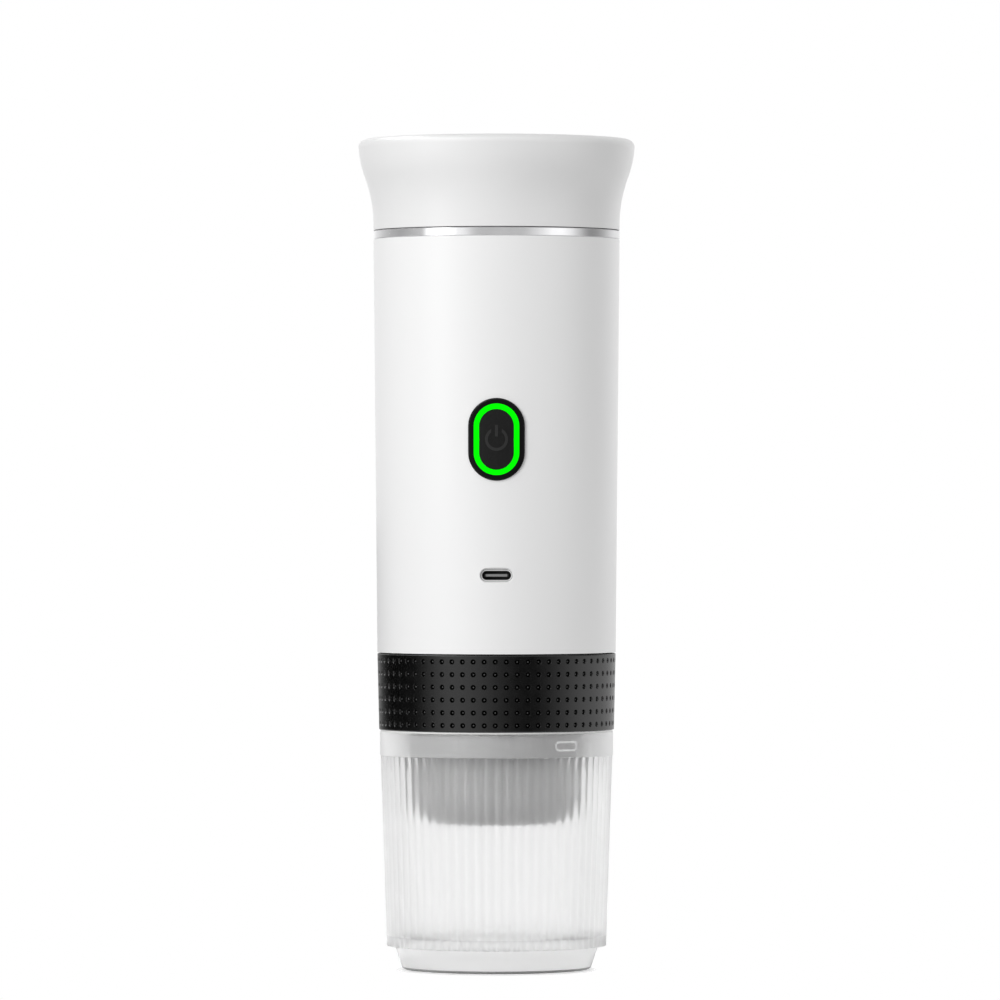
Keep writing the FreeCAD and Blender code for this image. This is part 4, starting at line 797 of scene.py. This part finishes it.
sheet = grip.node("GeometryNodeRealizeInstances", {"Geometry": cells})
x, y, z = grip.place()
inside = grip.math("MINIMUM", grip.math("MAXIMUM", z, low_z), high_z)
share = grip.math("DIVIDE", x, grip.math("MULTIPLY", pitch_x, columns))
turn = grip.math("ADD", grip.math("MULTIPLY", share, 2 * math.pi), first_turn)
widening = grip.math("MULTIPLY", grip.math("SUBTRACT", inside, low_z), taper)
reach = grip.math("ADD", grip.math("ADD", low_r, y), widening)
wrapped = grip.node(
    "ShaderNodeCombineXYZ",
    {
        "X": grip.math("MULTIPLY", reach, grip.math("SINE", turn)),
        "Y": grip.math("MULTIPLY", grip.math("MULTIPLY", reach, grip.math("COSINE", turn)), -1.0),
        "Z": inside,
    },
)
skin = grip.node("GeometryNodeSetPosition", {"Geometry": sheet, "Position": wrapped})
join = grip.tree.nodes.new("GeometryNodeJoinGeometry")
grip.tree.links.new(grip.sizes.outputs["Geometry"], join.inputs[0])
grip.tree.links.new(skin, join.inputs[0])
whole = grip.node("GeometryNodeMergeByDistance", {"Geometry": join.outputs[0], "Distance": 0.00002})
collar_mesh = grip.finished(black_collar, whole, black_rubber.material)
bpy.data.objects.remove(cell)
form = bmesh.new()
form.from_mesh(collar_mesh)
bmesh.ops.recalc_face_normals(form, faces=form.faces)
form.to_mesh(collar_mesh)
form.free()
smoothed(collar_mesh, 50)
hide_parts("grip_collar")
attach(black_collar, "brew_unit")


# Basket
# The coffee basket is deep drawn from thin steel, with rings of holes punched through its
# floor. It drops into the chamber and its rim rests on the ledge there.

dress(steel, "coffee_basket")


# Brew head
# The head is a dark glass-filled moulding screwed to the body's foot. A red gasket seals
# the basket, a steel screen spreads the water, and brass inserts take the tie bolts.

black_plastic = moulded("black_plastic", (0.05, 0.05, 0.052), 0.3, 0.45, 0.4, 0.004, change=0.1)
red_silicone = moulded("red_silicone", (0.55, 0.12, 0.1), 0.38, 0.52, 0.4, 0.004, change=0.08)
brass = metal("brass", (0.72, 0.55, 0.25), 0.2, 0.34, 0.25, 0.002)
dress(black_plastic, "brew_head")
dress(red_silicone, "head_gasket")
dress(steel, "shower_screen", "shower_screw", "tie_bolts")
dress(brass, "head_fitting", "threaded_inserts")


# Body
# The body is a slightly tapered tube moulded in glossy white plastic. A chromed ring is
# glued into its top.

white_plastic = moulded(
    "white_plastic", (0.92, 0.92, 0.92), 0.28, 0.31, 0.5, 0.0002,
    change=0.004, specular_ior_level=0.35,
)
chrome = metal("chrome", (0.84, 0.84, 0.85), 0.06, 0.12, 0.3, 0.0004)
dress(white_plastic, "body_shell")
dress(chrome, "trim_ring")


# Water tank
# The tank is drawn from thin steel and hangs in a black plastic neck on a silicone gasket.
# A heater film is wrapped round it under a felt sleeve, and a pad carries its floor.

amber_film = Finish("amber_film", (0.6, 0.33, 0.08), 0.3, coat_weight=0.4)
tracks = amber_film.node("ShaderNodeTexWave", wave_type="BANDS", bands_direction="Z")
amber_film.tree.links.new(amber_film.stretched((1, 1, 1)), tracks.inputs["Vector"])
tracks.inputs["Scale"].default_value = 75
tracks.inputs["Distortion"].default_value = 0.0
foil = amber_film.spread(tracks.outputs["Fac"], 0, 1, 0.45, 0.55)
amber_film.set("Base Color", amber_film.blend(foil, (0.45, 0.2, 0.05, 1), (0.66, 0.38, 0.1, 1)))
amber_film.set("Roughness", amber_film.spread(amber_film.noise(2), 0.22, 0.36))
amber_film.relief(foil, 0.03)

felt = Finish("felt", (0.8, 0.78, 0.72), 0.95)
fibres = felt.noise(0.7, detail=6, scale=(1, 1, 0.5))
felt.mottle(fibres, 0.25)
felt.set("Roughness", felt.spread(felt.noise(4), 0.88, 1.0))
felt.relief(fibres, 0.25)

dark_ceramic = moulded("dark_ceramic", (0.16, 0.13, 0.11), 0.5, 0.7, 0.3, 0.01, change=0.2)
dress(black_plastic, "tank_neck")
dress(white_silicone, "tank_gasket", "tank_pad")
dress(steel, "water_tank", "tank_filter")
dress(amber_film, "heater_band")
dress(felt, "tank_insulation")
dress(dark_ceramic, "thermostat")
dress(black_plastic, "temperature_probe")


# Frame and cells
# Two grey mouldings hold everything between the head and the tank. Three cells in a blue
# shrink sleeve stand between them, joined by spot-welded nickel straps.

frame_plastic = moulded("frame_plastic", (0.25, 0.26, 0.27), 0.36, 0.5, 0.4, 0.006, change=0.08)
cell_wrap = moulded(
    "cell_wrap", (0.1, 0.32, 0.55), 0.2, 0.3, 1.2, 0.01, change=0.1, coat_weight=0.3
)
nickel = metal("nickel", (0.7, 0.68, 0.62), 0.24, 0.38, 0.3, 0.002, around=False)
dress(frame_plastic, "frame_base", "frame_top")
dress(cell_wrap, "battery_cells")
dress(nickel, "cell_straps")


# Pump and motor
# A small gear pump sits on a silicone damper, its gears cut from steel, with a steel cover
# on four screws. The motor's can, magnets and rotor drive it, and brass barbs take the hoses.

magnet = moulded("magnet", (0.12, 0.12, 0.13), 0.5, 0.7, 0.2, 0.01, change=0.2, metallic=0.4)
inner_rubber = moulded("black_rubber_inner", (0.04, 0.04, 0.04), 0.45, 0.6, 0.3, 0.006, change=0.1)
dress(frame_plastic, "gear_housing")
dress(white_silicone, "pump_damper", "suction_hose", "pressure_hose")
dress(steel, "pump_cover", "pump_screws", "drive_gear", "idler_gear", "idler_pin")
dress(steel, "motor_can", "motor_screws", "motor_rotor")
dress(inner_rubber, "shaft_seal")
dress(brass, "pump_fittings", "motor_bearings")
dress(magnet, "motor_magnets")
dress(black_plastic, "motor_endbell")


# Control board
# A green circuit board slides into rails on the frame. It carries the switch, the lights,
# the charging socket and small black parts, and leads run from it to motor, heater and cells.

board_green = Finish("board_green", (0.04, 0.25, 0.12), 0.3, coat_weight=0.5)
copper = board_green.node("ShaderNodeTexBrick", offset=0.3, offset_frequency=3)
board_green.tree.links.new(board_green.stretched((1, 1, 1)), copper.inputs["Vector"])
copper.inputs["Scale"].default_value = 160
copper.inputs["Mortar Size"].default_value = 0.05
tracks = board_green.spread(copper.outputs["Fac"], 0, 1, 0.2, 0.6)
mask_shade = board_green.blend(tracks, (0.03, 0.2, 0.09, 1), (0.08, 0.36, 0.17, 1))
board_green.set("Base Color", mask_shade)
board_green.set("Roughness", board_green.spread(board_green.noise(2), 0.26, 0.4))
board_green.relief(tracks, 0.03)

wire_red = moulded("wire_red", (0.55, 0.05, 0.04), 0.35, 0.45, 0.5, 0.004, change=0.06)
socket_steel = Finish("socket_steel", (0.05, 0.05, 0.05), 0.4, specular_ior_level=0.25)
socket_height = 0.1142
socket_half_bar = 0.00284
shaded_mouth_half_height = 0.00132
tongue_half_width = 0.003
tongue_half_height = 0.0005
apart = socket_steel.node("ShaderNodeSeparateXYZ")
socket_steel.tree.links.new(socket_steel.place, apart.inputs[0])
across = socket_steel.math("ABSOLUTE", apart.outputs[0])
above = socket_steel.math("SUBTRACT", apart.outputs[2], socket_height)
level = socket_steel.math("ABSOLUTE", above)
from_middle = socket_steel.from_bar(across, level, socket_half_bar)
# Painted shade: inside the socket's mouth the steel is coloured near black for the shade in its
# recess, and only the lip outside it keeps a steel grey.
rim = socket_steel.math("GREATER_THAN", from_middle, shaded_mouth_half_height)
on_width = socket_steel.math("LESS_THAN", across, tongue_half_width)
on_height = socket_steel.math("LESS_THAN", level, tongue_half_height)
tongue = socket_steel.math("MULTIPLY", on_width, on_height)
brushed = socket_steel.noise(0.15, detail=4, scale=(1, 0.06, 0.06))
streaks = socket_steel.spread(brushed, 0, 1)
shade = socket_steel.blend(streaks, (0.06, 0.06, 0.06, 1), (0.09, 0.09, 0.09, 1))
shade = socket_steel.blend(tongue, shade, (0.26, 0.26, 0.26, 1))
socket_steel.set("Base Color", socket_steel.blend(rim, shade, (0.68, 0.68, 0.68, 1)))
socket_steel.set("Roughness", socket_steel.spread(brushed, 0.3, 0.5))
socket_steel.relief(brushed, 0.001)
dress(board_green, "control_board")
dress(black_plastic, "board_parts", "tact_switch")
dress(socket_steel, "usb_port")
dress(wire_red, "wire_leads")


# Button
# The cap stands in a glossy black bezel, inside a light ring of green acrylic that the
# lights behind it fill. A raised standby mark is moulded on the cap.

gloss_black = moulded(
    "gloss_black", (0.003, 0.003, 0.003), 0.16, 0.22, 0.6, 0.001,
    change=0.1, specular_ior_level=0.12,
)
green_light = Finish(
    "green_light", (0.0, 0.2, 0.0), 0.4, emission_strength=1.0, specular_ior_level=0.05
)
glow = green_light.spread(green_light.noise(4), 0, 1)
green_light.set("Emission Color", green_light.blend(glow, (0, 0.94, 0, 1), (0, 1, 0, 1)))
green_light.set("Roughness", green_light.spread(green_light.noise(1), 0.28, 0.4))
green_light.relief(green_light.noise(0.5), 0.002)

button_grey = Finish("button_grey", (0.012, 0.012, 0.012), 0.5, specular_ior_level=0.15)
body_foot = 0.0917
body_foot_radius = 0.0352
body_slope = 0.00963
mark_rise = 0.00005
_, reach, height = button_grey.around()
up_body = button_grey.math("SUBTRACT", height, body_foot)
face_reach = button_grey.math("MULTIPLY_ADD", up_body, body_slope, body_foot_radius)
mark_reach = button_grey.math("ADD", face_reach, mark_rise)
raised = button_grey.math("GREATER_THAN", reach, mark_reach)
speckle = button_grey.spread(button_grey.noise(0.4), 0, 1)
cap_colour = button_grey.blend(speckle, (0.007, 0.007, 0.007, 1), (0.011, 0.011, 0.011, 1))
button_grey.set("Base Color", button_grey.blend(raised, cap_colour, (0.028, 0.028, 0.028, 1)))
button_grey.set("Roughness", button_grey.spread(button_grey.noise(1.5), 0.42, 0.55))
button_grey.relief(button_grey.noise(0.3, detail=2), 0.008)

dress(gloss_black, "button_bezel")
dress(green_light, "light_ring", "status_leds")
dress(button_grey, "power_button")
dress(white_plastic, "switch_plunger")


# Lid
# The lid is a white flared cap over a threaded white plug. It closes on a silicone ring and
# lets steam out through a small silicone valve.

# Painted shade: the lid is the body's white plastic made darker, standing in for the shade on its
# flare, which faces a little downwards.
shaded_lid_white = moulded(
    "shaded_lid_white", (0.85, 0.85, 0.85), 0.28, 0.31, 0.5, 0.0002, change=0.004, specular_ior_level=0.35
)
inner_white = moulded("inner_white", (0.85, 0.85, 0.85), 0.34, 0.46, 0.5, 0.003)
dress(shaded_lid_white, "lid_shell")
dress(inner_white, "lid_liner")
dress(white_silicone, "lid_seal", "vent_valve")
